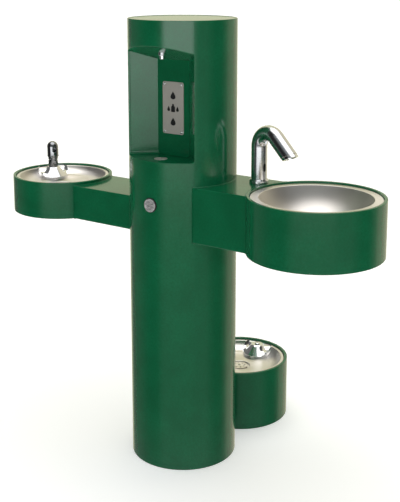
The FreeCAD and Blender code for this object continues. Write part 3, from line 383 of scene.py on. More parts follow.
def post_sheet(radius, across):
    """Points of the post's skin at one radius. across are angles from the front. Six level lines (floor,
    door's foot, door's head, alcove's foot, alcove's head, top) are joined by straight rows. The alcove's
    foot curls up at its sides by its corner's arc, and its head follows the sloping ceiling."""
    side = alcove_side_angle(radius)
    outer_side = alcove_side_angle(POST_R)
    a = np.interp(across, [-math.pi, -outer_side, outer_side, math.pi], [-math.pi, -side, side, math.pi])
    x = radius * np.sin(a)
    y = -radius * np.cos(a)
    splay = unit(np.array(ALCOVE_SPLAY))
    off_side = -splay[1] * (ALCOVE_BACK_HALF - np.abs(x)) + splay[0] * (ALCOVE_BACK_Y - y)
    short = np.clip(ALCOVE_CORNER - off_side, 0, ALCOVE_CORNER)
    foot = ALCOVE_Z + ALCOVE_CORNER - np.sqrt(ALCOVE_CORNER ** 2 - short ** 2)
    head = ALCOVE_TOP_Z + ALCOVE_SLOPE * (ALCOVE_BACK_Y + np.maximum(-y, radius * math.cos(side)))
    door = (DOOR_LOW[2] - DOOR_GAP, DOOR_HIGH[2] + DOOR_GAP)
    levels = [0 * a, 0 * a + door[0], 0 * a + door[1], foot, head, 0 * a + POST_H]
    bands = [low + (high - low) * np.linspace(0, 1, n, endpoint=False)[:, None]
             for low, high, n in zip(levels, levels[1:], BAND_ROWS)]
    z = np.concatenate(bands + [levels[-1][None]])
    band = np.repeat(np.arange(len(BAND_ROWS)), BAND_ROWS)
    return np.stack([x + 0 * z, y + 0 * z, z], -1), band


def pedestal_skin():
    """Two sheets of the skin, one at each face of the wall, joined round every opening."""
    side = alcove_side_angle(POST_R)
    door = math.asin((DOOR_HIGH[0] + DOOR_GAP) / POST_R)
    half = np.concatenate([
        np.linspace(0, side - 0.06, 20, endpoint=False),
        np.linspace(side - 0.06, side, 9, endpoint=False),
        np.linspace(side, math.pi - door, 36, endpoint=False),
        np.linspace(math.pi - door, math.pi, 14),
    ])
    across = np.concatenate([-half[:0:-1], half])
    outer, band = post_sheet(POST_R, across)
    inner = post_sheet(POST_R - POST_WALL, across)[0]
    middle = np.abs(across[:-1] + across[1:]) / 2
    open_alcove = (band[:, None] == ALCOVE_BAND) & (middle < side)
    open_door = (band[:, None] == DOOR_BAND) & (middle > math.pi - door)
    kept = ~(open_alcove | open_door).ravel()
    rows, columns = outer.shape[:2]
    skin = quads(rows, columns)[kept]
    seam = skin.copy()
    seam[seam % columns == columns - 1] -= columns - 1
    count = rows * columns
    edges = np.concatenate([np.stack([seam[:, i], seam[:, (i + 1) % 4]], 1) for i in range(4)])
    key = np.sort(edges, 1) @ np.array((count, 1))
    values, uses = np.unique(key, return_counts=True)
    rim = edges[np.isin(key, values[uses == 1])]
    walls = np.stack([rim[:, 0], rim[:, 1], rim[:, 1] + count, rim[:, 0] + count], 1)
    points = np.concatenate([outer.reshape(-1, 3), inner.reshape(-1, 3)])
    faces = np.concatenate([skin, skin[:, ::-1] + count, walls])
    make_piece("pedestal_skin", GREEN, points, faces, stands_for=("pedestal_tube",), bevel=2.0)


def cap():
    """The welded top plate: a disc whose edge is ground to a small round."""
    low, high = node_box("pedestal_cap")
    edge = rounded((0, low[2]), (high[0], low[2], 0.8), (high[0], high[2], 1.2), (0, high[2]))
    build("pedestal_top_plate", CAP_GREEN, turned(edge, (0, 0, 0)), stands_for=("pedestal_cap",))


def door_panel():
    """The rear door: a patch of the post's own curve with round corners. Its rows are the outline, grown
    from the middle of the outer face to the rounded edge and shrunk back over the inner face."""
    height = (DOOR_HIGH[2] - DOOR_LOW[2]) / 2
    middle_z = (DOOR_HIGH[2] + DOOR_LOW[2]) / 2
    outline = finer(rounded_box(DOOR_HIGH[0], height, 9.0), 8.0)
    sheet = 3.0
    rows = [(sheet, share) for share in np.linspace(0, 0.96, 8)]
    rows += [(sheet, 1 - 0.012), (sheet - 0.4, 1 - 0.004), (sheet - 1.4, 1.0), (0, 1.0)]
    rows += [(0, share) for share in np.linspace(0.96, 0, 8)]
    lift, shrink = np.array(rows).T[..., None]
    x = outline[:, 0] * shrink
    radius = POST_R - sheet + lift
    y = np.sqrt(radius ** 2 - x ** 2)
    z = middle_z + outline[:, 1] * shrink
    build("rear_door", GREEN, np.stack([x, y, z], -1), stands_for=("access_door",))


def socket_screw(radius, height, seat, axis):
    """Button-head screw: a dome with a six-sided socket. The socket's wall keeps its distance from the
    axis at apothem / cos(angle from the middle of the flat)."""
    socket = radius * 0.5
    depth = height * 0.75
    dome = [(0, -0.4), (radius * 0.98, -0.4), (radius, 0.1), (radius * 0.97, height * 0.35)]
    dome += [(radius * 0.82, height * 0.72), (radius * 0.66, height * 0.93), (socket * 1.12, height)]
    hole = [(socket, height * 0.96), (socket, height - depth), (0, height - depth * 1.1)]
    outline = np.array(dome + hole)
    turns = 36
    a = np.linspace(0, 2 * math.pi, turns + 1)
    hexagon = 0.9 / np.cos((a % (math.pi / 3)) - math.pi / 6)
    swell = np.ones((len(outline), turns + 1))
    swell[len(dome) - 1:-1] = hexagon
    return turned(outline, seat, axis, turns, swell)


def plate_screws():
    """Four small screws near the corners of the sign plate."""
    low, high = node_box("sign_plate")
    inset = 7.0
    x = high[0] - inset
    heads = [socket_screw(3.8, 2.4, (i * x, low[1], z), FRONT)
             for i in (-1, 1) for z in (low[2] + inset, high[2] - inset)]
    build("sign_plate_button_screws", CHROME, *heads, stands_for=("sign_plate_screws",))


def door_screws():
    """Four screws near the corners of the rear door, on the post's curve."""
    inset = 8.0
    x = DOOR_HIGH[0] + DOOR_GAP - inset
    z = (DOOR_LOW[2] - DOOR_GAP + inset, DOOR_HIGH[2] + DOOR_GAP - inset)
    seat_y = math.sqrt(POST_R ** 2 - (x - 5.0) ** 2) - 0.6
    heads = [socket_screw(6.0, 3.2, (i * x, seat_y, k), REAR) for i in (-1, 1) for k in z]
    build("rear_door_screws", BUTTON_STEEL, *heads, stands_for=("access_door_screws",))


# ---------------------------------------------------------------- alcove fittings

WHOLE = 500.0            # inset that shrinks any of these outlines to its middle


def flat_shape(outline, centre, rows):
    """A flat piece facing the front: each row is the outline shrunk about its middle and set forward.
    rows are (inset in millimetres, distance forward)."""
    size = np.abs(outline).max(0)
    grid = []
    for inset, forward in rows:
        share = np.maximum(1 - inset / size, 0)
        x, z = (outline * share).T
        grid.append(np.stack([centre[0] + x, np.full_like(x, centre[1] - forward), centre[2] + z], -1))
    return np.stack(grid)


def sign_plate():
    """Plate with round corners and an eased front edge."""
    low, high = node_box("sign_plate")
    half = (high - low) / 2
    outline = rounded_box(half[0], half[2], 6.0)
    thickness = high[1] - low[1]
    rows = [(WHOLE, 0), (0, 0), (0, thickness - 0.6), (0.25, thickness - 0.15), (0.8, thickness),
            (WHOLE, thickness)]
    middle = ((high[0] + low[0]) / 2, high[1], (high[2] + low[2]) / 2)
    build("brushed_sign_plate", PLATE_STEEL, flat_shape(outline, middle, rows), stands_for=("sign_plate",))


def drop_outline(width, height):
    """Water drop: x = sin t * sin(t / 2) ** 1.6, z = cos t, with its point at the top."""
    t = np.linspace(0, 2 * math.pi, 33)
    x = np.sin(t) * np.abs(np.sin(t / 2)) ** 1.6
    return np.stack([x / np.abs(x).max() * width / 2, np.cos(t) * height / 2], 1)


def bottle_outline(width, height):
    """Plain bottle: round-cornered body, sloping shoulder, short neck."""
    w = width / 2
    h = height / 2
    right = [(w, -h, 1.5), (w, h * 0.3, 2.0), (w * 0.45, h * 0.62, 0.8), (w * 0.45, h, 0.5)]
    left = [(-x, z, r) for x, z, r in right[::-1]]
    return rounded(*right, *left, closed=True, steps=5)


def sign_symbols():
    """Screen-printed symbols, 0.2 mm thick: a drop above and below, and a bottle between two drops."""
    face = node_box("sign_plate")[0][1]
    rows = [(WHOLE, 0), (0, 0), (0, 0.15), (0.1, 0.2), (WHOLE, 0.2)]
    large_drop = drop_outline(18, 24)
    small_drop = drop_outline(10, 16)
    symbols = [(large_drop, 0, 1128), (large_drop, 0, 1050), (bottle_outline(14, 24), 0, 1090),
               (small_drop, -16, 1088), (small_drop, 16, 1088)]
    grids = [flat_shape(outline, (x, face, z), rows) for outline, x, z in symbols]
    build("sign_symbols", BLACK_PAINT, *grids)


def nozzle():
    """Turned filler nozzle: a stem with a rounded tip, an outlet bore and a foot against the ceiling."""
    low, high = node_box("filler_nozzle")
    y = (low[1] + high[1]) / 2
    ceiling = ALCOVE_TOP_Z + ALCOVE_SLOPE * (ALCOVE_BACK_Y - y)
    tip = low[2]
    edge = rounded((4.5, high[2]), (4.5, tip + 3, 1.5), (5.5, tip + 0.4, 0.5), (7.9, tip, 1.2),
                   (8.0, ceiling - 6, 1.0), (11.0, ceiling - 5, 1.5), (11.5, ceiling + 4),
                   (8.0, ceiling + 5), (8.0, high[2]), closed=True)
    build("filler_nozzle_stem", CHROME, turned(edge, (0, y, 0), turns=SMALL_TURNS),
          stands_for=("filler_nozzle",))


# ---------------------------------------------------------------- arms and drums

ARM_WALL = 4.8
ARM_CORNER = 3.0
DRUM_WALL = 9.5
BEAD_R = 1.6


def skin_gap(y, radius):
    """Distance from a cylinder's axis to its skin, along X, at a given Y."""
    return np.sqrt(radius ** 2 - y ** 2)


def bead(path, first, second, radius):
    """Weld bead: a ring of the radius round each point of a closed path, in the plane of the two face
    normals that meet there."""
    a = np.linspace(0, 2 * math.pi, 11)[None, :, None]
    return path[:, None] + radius * (np.cos(a) * first[:, None] + np.sin(a) * second[:, None])


def arm(name, drum_x, drum_r):
    """Box-section arm: its rounded outline is carried from the post's skin to the drum's skin, so that
    each point starts and ends where X meets those cylinders. The wall's inner face runs back inside."""
    low, high = node_box(name + "_arm")
    way = math.copysign(1.0, drum_x)

    def skin(outline, steps):
        y, z = outline.T
        near = way * skin_gap(y, POST_R)
        far = drum_x - way * skin_gap(y, drum_r)
        x = near + (far - near) * steps[:, None]
        return np.stack([x, y + 0 * x, z + 0 * x], -1)

    steps = np.linspace(0, 1, 9)
    y = high[1]
    corners = [(-y, low[2]), (y, low[2]), (y, high[2]), (-y, high[2])]
    outer = finer(rounded(*[(*corner, ARM_CORNER) for corner in corners], closed=True), 9.0)
    inner = outer * (1 - 2 * ARM_WALL / np.array((high[1] - low[1], high[2] - low[2])))
    inner[:, 1] += (low[2] + high[2]) / 2 * (2 * ARM_WALL / (high[2] - low[2]))
    tube = np.concatenate([skin(outer, steps), skin(inner, steps[::-1]), skin(outer, steps[:1])])
    beads = [weld(skin(outer, np.array([end]))[0], outer, x) for end, x in ((0.0, 0), (1.0, drum_x))]
    build(name + "_box_arm", GREEN, tube, *beads, stands_for=(name + "_arm",))


def weld(path, outline, axis_x):
    """Bead round the end of an arm, between the cylinder's skin and the arm's faces."""
    radial = path * (1, 1, 0) - (axis_x, 0, 0)
    radial /= np.linalg.norm(radial, axis=1)[:, None]
    way = np.gradient(outline, axis=0)
    way[0] = way[-1] = outline[1] - outline[-2]
    way /= np.linalg.norm(way, axis=1)[:, None]
    face = np.stack([0 * way[:, 0], way[:, 1], -way[:, 0]], 1)
    return bead(path, radial, face, BEAD_R)


def drum(name, at, radius):
    """Rolled and welded ring with its edges eased."""
    low, high = node_box(name + "_drum")
    bore = radius - DRUM_WALL
    edge = rounded((radius, low[2], 1.5), (radius, high[2], 2.0), (bore, high[2], 1.6), (bore, low[2], 1.0),
                   closed=True)
    build(name + "_drum_ring", GREEN, turned(edge, (*at, 0), turns=BOWL_TURNS), stands_for=(name + "_drum",))


# ---------------------------------------------------------------- bowls

FLANGE_DROP = 5.0
FLANGE_R = 151.8
FLANGE_LIP = -9
SHEET = 1.5
BOWL_R = 141.0
BOWL_WALL_FOOT = (124.0, -27.0)
BOWL_FLOOR = -33.6
OUTLET_R = 16
SEAT_R = 35.5
SEAT_DROP = 5.0
BASIN_HALF_WIDTH = 160.0
BASIN_DEPTH = 110.0
BASIN_FLANGE_R = 185.0
MOUND_AT = 116.0
MOUND_TOP_R = 19.5
MOUND_REACH = 48.5
MOUND_EDGE_R = 143.0
MOUND_FOOT = -29.5       # foot of the apron towards the bowl's centre
MOUND_RISE = 26.5        # how much higher the foot is behind
MOUND_DIP = 0.55         # dip of the apron behind, as a share of its length
MOUND_TURN = (40, 65)    # degrees from the bowl's centre at which the foot starts to rise, and for how long
STRAINER_DOME = 0.8
STRAINER_SHEET = 1.8
BOWL_STRAINER = (27.5, 8, 18.2, 3.0)        # radius, number of holes, radius of their circle, hole's radius
ALCOVE_STRAINER = (20.0, 6, 11.0, 2.6)


def bowl_line():
    """Upper face of the pressed dish, from its outlet to the rolled edge of its flange."""
    seat = BOWL_FLOOR - SEAT_DROP
    return rounded((OUTLET_R, seat), (SEAT_R, seat, 2.2), (SEAT_R, BOWL_FLOOR, 2.5), (*BOWL_WALL_FOOT, 52.0),
                   (BOWL_R, 0, 4.0), (FLANGE_R, 0, 3.0), (FLANGE_R, FLANGE_LIP), steps=9)


def small_bowl(name, at, rim, steel):
    """Dish of the left or the pet unit."""
    dish = turned(thick(bowl_line(), SHEET), (*at, rim - FLANGE_DROP), turns=BOWL_TURNS)
    build(name + "_dish", steel, dish, stands_for=(name + "_bowl",))


def smooth(share):
    """Eases a share between 0 and 1: 3 s^2 - 2 s^3 after it is cut off at both ends."""
    share = np.clip(share, 0, 1)
    return share * share * (3 - 2 * share)


def mound(name, at, rim, angle, steel, node):
    """Scalloped shelf that carries the outlet. Round its own axis it is a flat top, an apron, a rolled lip,
    and a skirt down to the dish. Towards the bowl's centre the apron falls straight to its foot. Behind,
    the foot rises to the flange and the apron dips between them like a half sine wave."""
    line = bowl_line()
    line = line[line[:, 0].argsort(kind="stable")]
    a = np.linspace(0, 2 * math.pi, TURNS + 1)
    towards = math.radians(angle)
    centre = MOUND_AT * np.array((math.cos(towards), math.sin(towards)))
    along = MOUND_AT * np.cos(a - towards)
    end = np.minimum(MOUND_REACH, np.sqrt(along ** 2 - MOUND_AT ** 2 + MOUND_EDGE_R ** 2) - along)
    away = np.degrees(np.arccos(-np.cos(a - towards)))
    behind = smooth((away - MOUND_TURN[0]) / MOUND_TURN[1])
    foot = MOUND_FOOT + MOUND_RISE * behind
    share = np.linspace(0, 1, 14)[:, None]
    start = MOUND_TOP_R + 0.9
    run = start + (end - start) * share
    fall = foot * share - MOUND_DIP * (end - start) * behind * np.sin(math.pi * share)
    outer = end + 2.0
    from_bowl = np.hypot(centre[0] + outer * np.cos(a), centre[1] + outer * np.sin(a))
    dish = np.interp(from_bowl, line[:, 0], line[:, 1])
    top = np.array([(0, 0), (MOUND_TOP_R - 1.6, 0), (MOUND_TOP_R, -0.2)])
    r = np.concatenate([top[:, :1] + 0 * a, run[1:], [end + 0.8, end + 1.6, outer, outer, 0 * a]])
    z = np.concatenate([top[:, 1:] + 0 * a, fall[1:], [foot + 0.9, foot + 0.8, foot - 0.2,
                                                       dish - FLANGE_DROP - 0.6, 0 * a - 12]])
    x = at[0] + centre[0] + r * np.cos(a)
    y = at[1] + centre[1] + r * np.sin(a)
    build(name, steel, np.stack([x, y, rim + z], -1), stands_for=(node,))


def basin(at, rim, steel):
    """Spun basin: a spherical cap of the given width and depth, with a flat flange and a sunk seat. The
    ball's radius is (half width^2 + depth^2) / (2 depth)."""
    ball = (BASIN_HALF_WIDTH ** 2 + BASIN_DEPTH ** 2) / (2 * BASIN_DEPTH)
    start = math.asin((SEAT_R + 2.5) / ball)
    stop = math.asin(BASIN_HALF_WIDTH / ball) - 0.01
    a = np.linspace(start, stop, 40)
    cap_line = np.stack([ball * np.sin(a), ball - BASIN_DEPTH - ball * np.cos(a)], 1)
    seat = -BASIN_DEPTH - SEAT_DROP + 2
    foot = rounded((OUTLET_R, seat), (SEAT_R, seat, 2.0), (SEAT_R, seat + 4.5, 1.5), tuple(cap_line[0]))
    brim = rounded(tuple(cap_line[-1]), (BASIN_HALF_WIDTH, 0, 2.5), (BASIN_FLANGE_R, 0, 3.0),
                   (BASIN_FLANGE_R, FLANGE_LIP))
    line = np.concatenate([foot[:-1], cap_line, brim[1:]])
    build("right_spun_basin", steel, turned(thick(line, SHEET), (*at, rim - FLANGE_DROP), turns=BASIN_TURNS),
          stands_for=("right_basin",))


def perforated_disc(at, radius, holes, ring_r, hole_r):
    """Strainer: for every hole one sector of the disc, spread between the hole's circle and the sector's
    own edge, on a low dome. The same sector below, and walls in the hole and round the disc's two edges,
    close it; where two sectors meet there is no wall."""
    inner_r = 2.2
    half = math.pi / holes
    steps = 6
    side = np.linspace(0, 1, steps, endpoint=False)
    corner = [(inner_r, -half), (radius, -half), (radius, half), (inner_r, half)]
    edges = []
    for (r0, a0), (r1, a1) in zip(corner, corner[1:] + corner[:1]):
        edges.append(np.stack([r0 + (r1 - r0) * side, a0 + (a1 - a0) * side], 1))
    edge = np.concatenate(edges + [edges[0][:1]])
    rim_xy = np.stack([edge[:, 0] * np.cos(edge[:, 1]), edge[:, 0] * np.sin(edge[:, 1])], 1)
    way = rim_xy - (ring_r, 0)
    hole_xy = (ring_r, 0) + hole_r * way / np.linalg.norm(way, axis=1)[:, None]
    spread = np.array([0, 0.06, 0.4, 0.75, 1.0])[:, None, None]
    flat = hole_xy + (rim_xy - hole_xy) * spread
    top = STRAINER_DOME * (1 - (np.linalg.norm(flat, axis=-1) / radius) ** 2)
    top[0] -= 0.3
    upper = np.concatenate([flat, top[..., None]], -1)
    lower = np.concatenate([flat, (top - STRAINER_SHEET)[..., None]], -1)
    sector = np.concatenate([upper, lower[::-1], upper[:1]])
    faces = quads(*sector.shape[:2]).reshape(len(sector) - 1, 4 * steps, 4)
    kept = np.ones(faces.shape[:2], bool)
    kept[len(spread) - 1, :steps] = False
    kept[len(spread) - 1, 2 * steps:3 * steps] = False
    faces = faces[kept]
    points = sector.reshape(-1, 3)
    turn = 2 * math.pi * np.arange(holes) / holes
    c = np.cos(turn)
    s = np.sin(turn)
    turning = np.moveaxis(np.array(((c, s, 0 * c), (-s, c, 0 * c), (0 * c, 0 * c, 1 + 0 * c))), -1, 0)
    everywhere = points @ turning + at
    return everywhere.reshape(-1, 3), np.concatenate([faces + i * len(points) for i in range(holes)])


def strainer(name, steel, sizes):
    """Perforated strainer where the CAD one is."""
    low, high = node_box(name + "_strainer")
    centre = (low + high) / 2
    points, faces = perforated_disc((centre[0], centre[1], high[2]), *sizes)
    make_piece(name + "_perforated_strainer", steel, points, faces, stands_for=(name + "_strainer",),
               sharp=30)


# ---------------------------------------------------------------- bubbler and jet

HOOD_FOOT_Z = 34.0
HOOD_TOP_Z = 86.0
HOOD_R = 18.5
HOOD_MOUTH_Z = 61.0
MOUTH_HALF_WIDTH = 8.0
MOUTH_HALF_HEIGHT = 10.0
MOUTH_DEPTH = 14.0
HOOD_LEAN = 4.5


def bubbler(at, rim, angle):
    """Chrome bubbler: a turned body with a collar and a slanting jet inside a mouth guard."""
    body = rounded((0, -6), (15.5, -6), (16, 0.5), (16, 20, 1.0), (14.8, 22, 1.0), (14.8, 25, 1.0),
                   (16.4, 27, 1.0), (16.4, 34, 1.0), (0, 34.5))
    towards = np.array((math.cos(angle), math.sin(angle), 0))
    jet = rounded((1.6, 0), (1.6, 6), (3.2, 6, 0.6), (3.4, 0), closed=True)
    lean = unit(towards + 0.6 * np.array(UP))
    foot = np.array((*at, rim + HOOD_MOUTH_Z - 4)) + 1.5 * towards
    build("left_bubbler_body", HOOD_CHROME, turned(body, (*at, rim), turns=RING_TURNS),
          turned(jet, foot, lean, turns=SMALL_TURNS), stands_for=("left_bubbler",))


def mouth_guard(at, rim, angle):
    """Domed hood over the jet. Its mouth is a pocket: inside an ellipse on the side that faces the bowl,
    the skin is pushed inwards by the mouth's depth. The hood leans back from the bowl by its lean times the
    square of the height, which counts from 0 at its foot to 1 at its top."""
    bend = np.linspace(0, math.pi / 2, 48)[:, None]
    dome = np.concatenate([HOOD_R * np.sin(bend), HOOD_TOP_Z - HOOD_R * (1 - np.cos(bend))], 1)
    down = np.linspace(HOOD_TOP_Z - HOOD_R, HOOD_FOOT_Z + 1, 52)[1:, None]
    foot = np.array([(HOOD_R - 1, HOOD_FOOT_Z), (0, HOOD_FOOT_Z)])
    outline = np.concatenate([dome, np.concatenate([0 * down + HOOD_R, down], 1), foot])
    x, y, z = np.moveaxis(turned(outline, (0, 0, 0), turns=BASIN_TURNS), -1, 0)
    towards = x * math.cos(angle) + y * math.sin(angle)
    across = y * math.cos(angle) - x * math.sin(angle)
    from_middle = np.hypot(across / MOUTH_HALF_WIDTH, (z - HOOD_MOUTH_Z) / MOUTH_HALF_HEIGHT)
    pushed = MOUTH_DEPTH * smooth((1.06 - from_middle) / 0.2) * (towards > 0)
    height = (z - HOOD_FOOT_Z) / (HOOD_TOP_Z - HOOD_FOOT_Z)
    towards = towards - pushed - HOOD_LEAN * height ** 2
    x = at[0] + towards * math.cos(angle) - across * math.sin(angle)
    y = at[1] + towards * math.sin(angle) + across * math.cos(angle)
    collar = rounded((17.2, 34, 1.0), (19.0, 34, 1.0), (19.0, 40, 1.0), (17.2, 40, 1.0), closed=True)
    build("left_mouth_guard", HOOD_CHROME, np.stack([x, y, rim + z], -1),
          turned(collar, (*at, rim), turns=RING_TURNS), stands_for=("left_bubbler_hood",), sharp=60)


def pet_jet(at, rim):
    """Low jet on the pet bowl's mound: a domed button with a central bore."""
    edge = rounded((0, -3), (9.0, -3), (9.0, 3.0, 1.5), (6.5, 4.2, 1.0), (2.2, 4.6, 0.4), (2.0, 1.0),
                   (0, 1.0))
    build("pet_jet_head", CHROME, turned(edge, (*at, rim), turns=SMALL_TURNS), stands_for=("pet_jet",))


# ---------------------------------------------------------------- tap

TAP_R = 23.4
TAP_BEND_Z = 985.7
TAP_BEND_R = 42.0
TAP_DROP = math.radians(41.0)
TAP_LEG = 78.2
TAP_MOUTH = math.radians(25.0)
TAP_WALL = 3.0
TAP_FOOT_H = 11.8
AERATOR_H = 9.0


def bent_tube(outline, foot, facing, shear=0.0):
    """A turned shape carried along the tap's centre line: straight up, round a bend in the upright plane
    that faces the basin, and down a straight leg. The outline is (distance along the line, radius). The
    leg's end is sheared, by shear times the height above the line, until it lies in the mouth's plane."""
    rise = TAP_BEND_Z - foot[2]
    turn = math.pi / 2 + TAP_DROP
    arc = TAP_BEND_R * turn
    a = np.linspace(0, 2 * math.pi, 65)
    s = outline[:, :1] + 0 * a
    r = outline[:, 1:] + 0 * a
    late = np.clip((s - rise - arc) / TAP_LEG, 0, 1)
    s = s + shear * r * np.cos(a) * late
    bend = np.clip((s - rise) / TAP_BEND_R, 0, turn)
    after = np.maximum(s - rise - arc, 0)
    along = TAP_BEND_R * (1 - np.cos(bend)) + after * math.sin(turn)
    up = np.minimum(s, rise) + TAP_BEND_R * np.sin(bend) + after * math.cos(turn)
    along = along - r * np.cos(a) * np.cos(bend)
    up = up + r * np.cos(a) * np.sin(bend)
    across = r * np.sin(a)
    x = foot[0] + along * facing[0] - across * facing[1]
    y = foot[1] + along * facing[1] + across * facing[0]
    return np.stack([x, y, foot[2] + up], -1)


def tap(basin_at):
    """Sensor tap: bent spout with a wall, outlet ring inside its mouth, and foot plate."""
    low, high = node_box("faucet_escutcheon")
    centre = (low + high) / 2
    facing = unit(np.array(basin_at) - centre[:2])
    foot_top = high[2]
    foot = (centre[0], centre[1], foot_top)
    whole = TAP_BEND_Z - foot_top + TAP_BEND_R * (math.pi / 2 + TAP_DROP) + TAP_LEG
    shear = math.tan(math.radians(90) - TAP_DROP - TAP_MOUTH)
    step = whole - AERATOR_H
    bore = TAP_R - TAP_WALL
    way = np.linspace(0, step, 70)
    body = np.concatenate([
        [(0, bore), (0, TAP_R)],
        np.stack([way[1:-1], 0 * way[1:-1] + TAP_R], 1),
        [(step - 0.6, TAP_R), (step, TAP_R - 0.6), (step, bore)],
        np.stack([way[-2::-1], 0 * way[:-1] + bore], 1),
    ])
    build("tap_spout", TAP_CHROME, bent_tube(body, foot, facing, shear), stands_for=("faucet_spout",))
    ring = np.array([(step + 0.3, TAP_R - 0.7), (whole - 1.2, TAP_R - 0.7), (whole - 0.3, TAP_R - 1.1),
                     (whole, TAP_R - 2.2), (whole, TAP_R - 8), (whole - 2.5, TAP_R - 9), (whole - 3, 0),
                     (step + 0.3, 0), (step + 0.3, TAP_R - 0.7)])
    build("tap_outlet_ring", CHROME, bent_tube(ring, foot, facing, shear), stands_for=("faucet_aerator",))
    base = foot_top - TAP_FOOT_H
    reach = high[0] - centre[0]
    edge = rounded((0, base), (reach, base, 0.8), (reach - 0.3, foot_top - 4.5, 3.5),
                   (TAP_R + 1.6, foot_top, 0.8), (TAP_R - 1, foot_top, 0.2), (bore, foot_top - 1),
                   (0, foot_top - 1))
    build("tap_foot_plate", TAP_CHROME, turned(edge, (centre[0], centre[1], 0), turns=RING_TURNS),
          stands_for=("faucet_escutcheon",))


# ---------------------------------------------------------------- push buttons

BEZEL_R = 22.0
BEZEL_BORE_R = 19.8
BEZEL_H = 2.2
BEZEL_FOOT = -8
BUTTON_R = 19.3
BUTTON_FOOT = -0.5
STEM_R = 6
STEM_FOOT = -44


def push_button(name, axis, skin_y):
    """Push button: a face spun to a shallow cone inside a rounded bezel ring. Heights count outwards from
    the skin."""
    centre = middle_of(name + "_button_bezel")
    at = (centre[0], skin_y, centre[2])
    ring = rounded((BEZEL_R, BEZEL_FOOT), (BEZEL_R, BEZEL_H, 1.2), (BEZEL_BORE_R, BEZEL_H, 0.9),
                   (BEZEL_BORE_R, BEZEL_FOOT), closed=True)
    # Near-black ring: painted shade round the button's face.
    build(name + "_bezel_ring", SHADE_BLACK_RING, turned(ring, at, axis, turns=RING_TURNS),
          stands_for=(name + "_button_bezel",))
    head = rounded((0, BUTTON_FOOT), (BUTTON_R, BUTTON_FOOT), (BUTTON_R, 5.0, 1.0), (16.6, 5.4, 0.6),
                   (15.6, 4.9, 0.6), (0, 4.5), steps=5)
    stem = rounded((0, STEM_FOOT), (STEM_R, STEM_FOOT, 0.6), (STEM_R, 0), (0, 0))
    build(name + "_button_face", BUTTON_STEEL, turned(head, at, axis, turns=RING_TURNS),
          turned(stem, at, axis, turns=32), body=name + "_push", stands_for=(name + "_button",))


# ---------------------------------------------------------------- studio

CAMERA_AT = (1.70696, -2.34491, 1.51076)
CAMERA_TURN = 35.04
CAMERA_DROP = 10.85
CAMERA_LENS = 70.39
CAMERA_SHIFT = -0.2
CAMERA_REACH = 200       # metres
FLOOR_R = 80.0           # metres, past the horizon line of every view
FLOOR_Z = -0.3           # millimetres
FLOOR_LIFT = 0.38


def camera():
    """The camera, turned about Z and then dropped below level."""
    data = bpy.data.cameras.new("camera")
    data.lens = CAMERA_LENS
    data.sensor_width = 36
    data.shift_y = CAMERA_SHIFT
    data.clip_end = CAMERA_REACH
    holder = bpy.data.objects.new("camera", data)
    holder.location = CAMERA_AT
    holder.rotation_euler = (math.radians(90 - CAMERA_DROP), 0, math.radians(CAMERA_TURN))
    bpy.context.scene.collection.objects.link(holder)
    bpy.context.scene.camera = holder


def floor():
    """A wide pale disc, an unglazed white paper sweep with a faint tooth. It is kept out of reflections, as
    dark cloth round a shiny product would do, and lifted towards white for the camera."""
    material, tree = start_material("white_paper_floor", "")
    tooth = add(tree, "TexNoise", {"Vector": place(tree), "Scale": per_metre(4), "Detail": 2.0})
    bump = add(tree, "Bump", {"Height": tooth.outputs["Fac"], "Strength": 0.05, "Distance": 0.0002})
    seen = add(tree, "LightPath")
    lift = add(tree, "Math", {0: seen.outputs["Is Camera Ray"], 1: FLOOR_LIFT}, operation="MULTIPLY")
    close_material(tree, {"Base Color": srgb("F6F6F5"), "Roughness": 0.9, "Normal": bump.outputs["Normal"],
                          "Emission Strength": lift.outputs[0]})
    disc = turned(np.array([(0, 0), (2, 0), (10, 0), (FLOOR_R, 0)]) / TO_METRES, (0, 0, FLOOR_Z))
    mesh = bpy.data.meshes.new("floor")
    faces = quads(*disc.shape[:2])[:, ::-1]
    mesh.from_pydata((disc.reshape(-1, 3) * TO_METRES).tolist(), [], faces.tolist())
    mesh.materials.append(material)
    sheet = bpy.data.objects.new("floor", mesh)
    bpy.context.scene.collection.objects.link(sheet)
    sheet.visible_glossy = False


# Brightness of the studio's walls by direction: (degrees from the front towards +X, colour, strength).
WALLS = (
    (-115, "F4F2EA", 0.22), (-70, "F4F6F6", 0.16), (-56, "F4F6F6", 0.08), (-43, "F4F6F6", 0.02),
    (-25, "F4F6F6", 0.02), (-8, "F0F7F8", 0.29), (85, "F0F7F8", 0.31), (98, "F4F6F6", 0.14),
    (110, "F4F4EC", 0.05), (124, "F4F4EC", 0.06), (136, "F4EFDC", 0.30), (148, "F3ECD2", 0.82),
    (182, "F3EBCE", 0.86), (215, "F1F0CE", 0.86),
)
SOFTBOX = (27.5, 32.5)           # middle and half width in degrees
SOFTBOX_EDGE = 7.0
SOFTBOX_TALL = (0.27, 0.05)      # sines of the elevations at which each one starts and is full
CEILING_FADE = (0.8, 0.94)
FLOOR_FADE = (-0.44, -0.58)
SOFTBOX_LIGHT = 3.2
CEILING = 2.4
FLOOR_LIGHT = 1.1                # the floor as polished metal shows it, looking steeply down


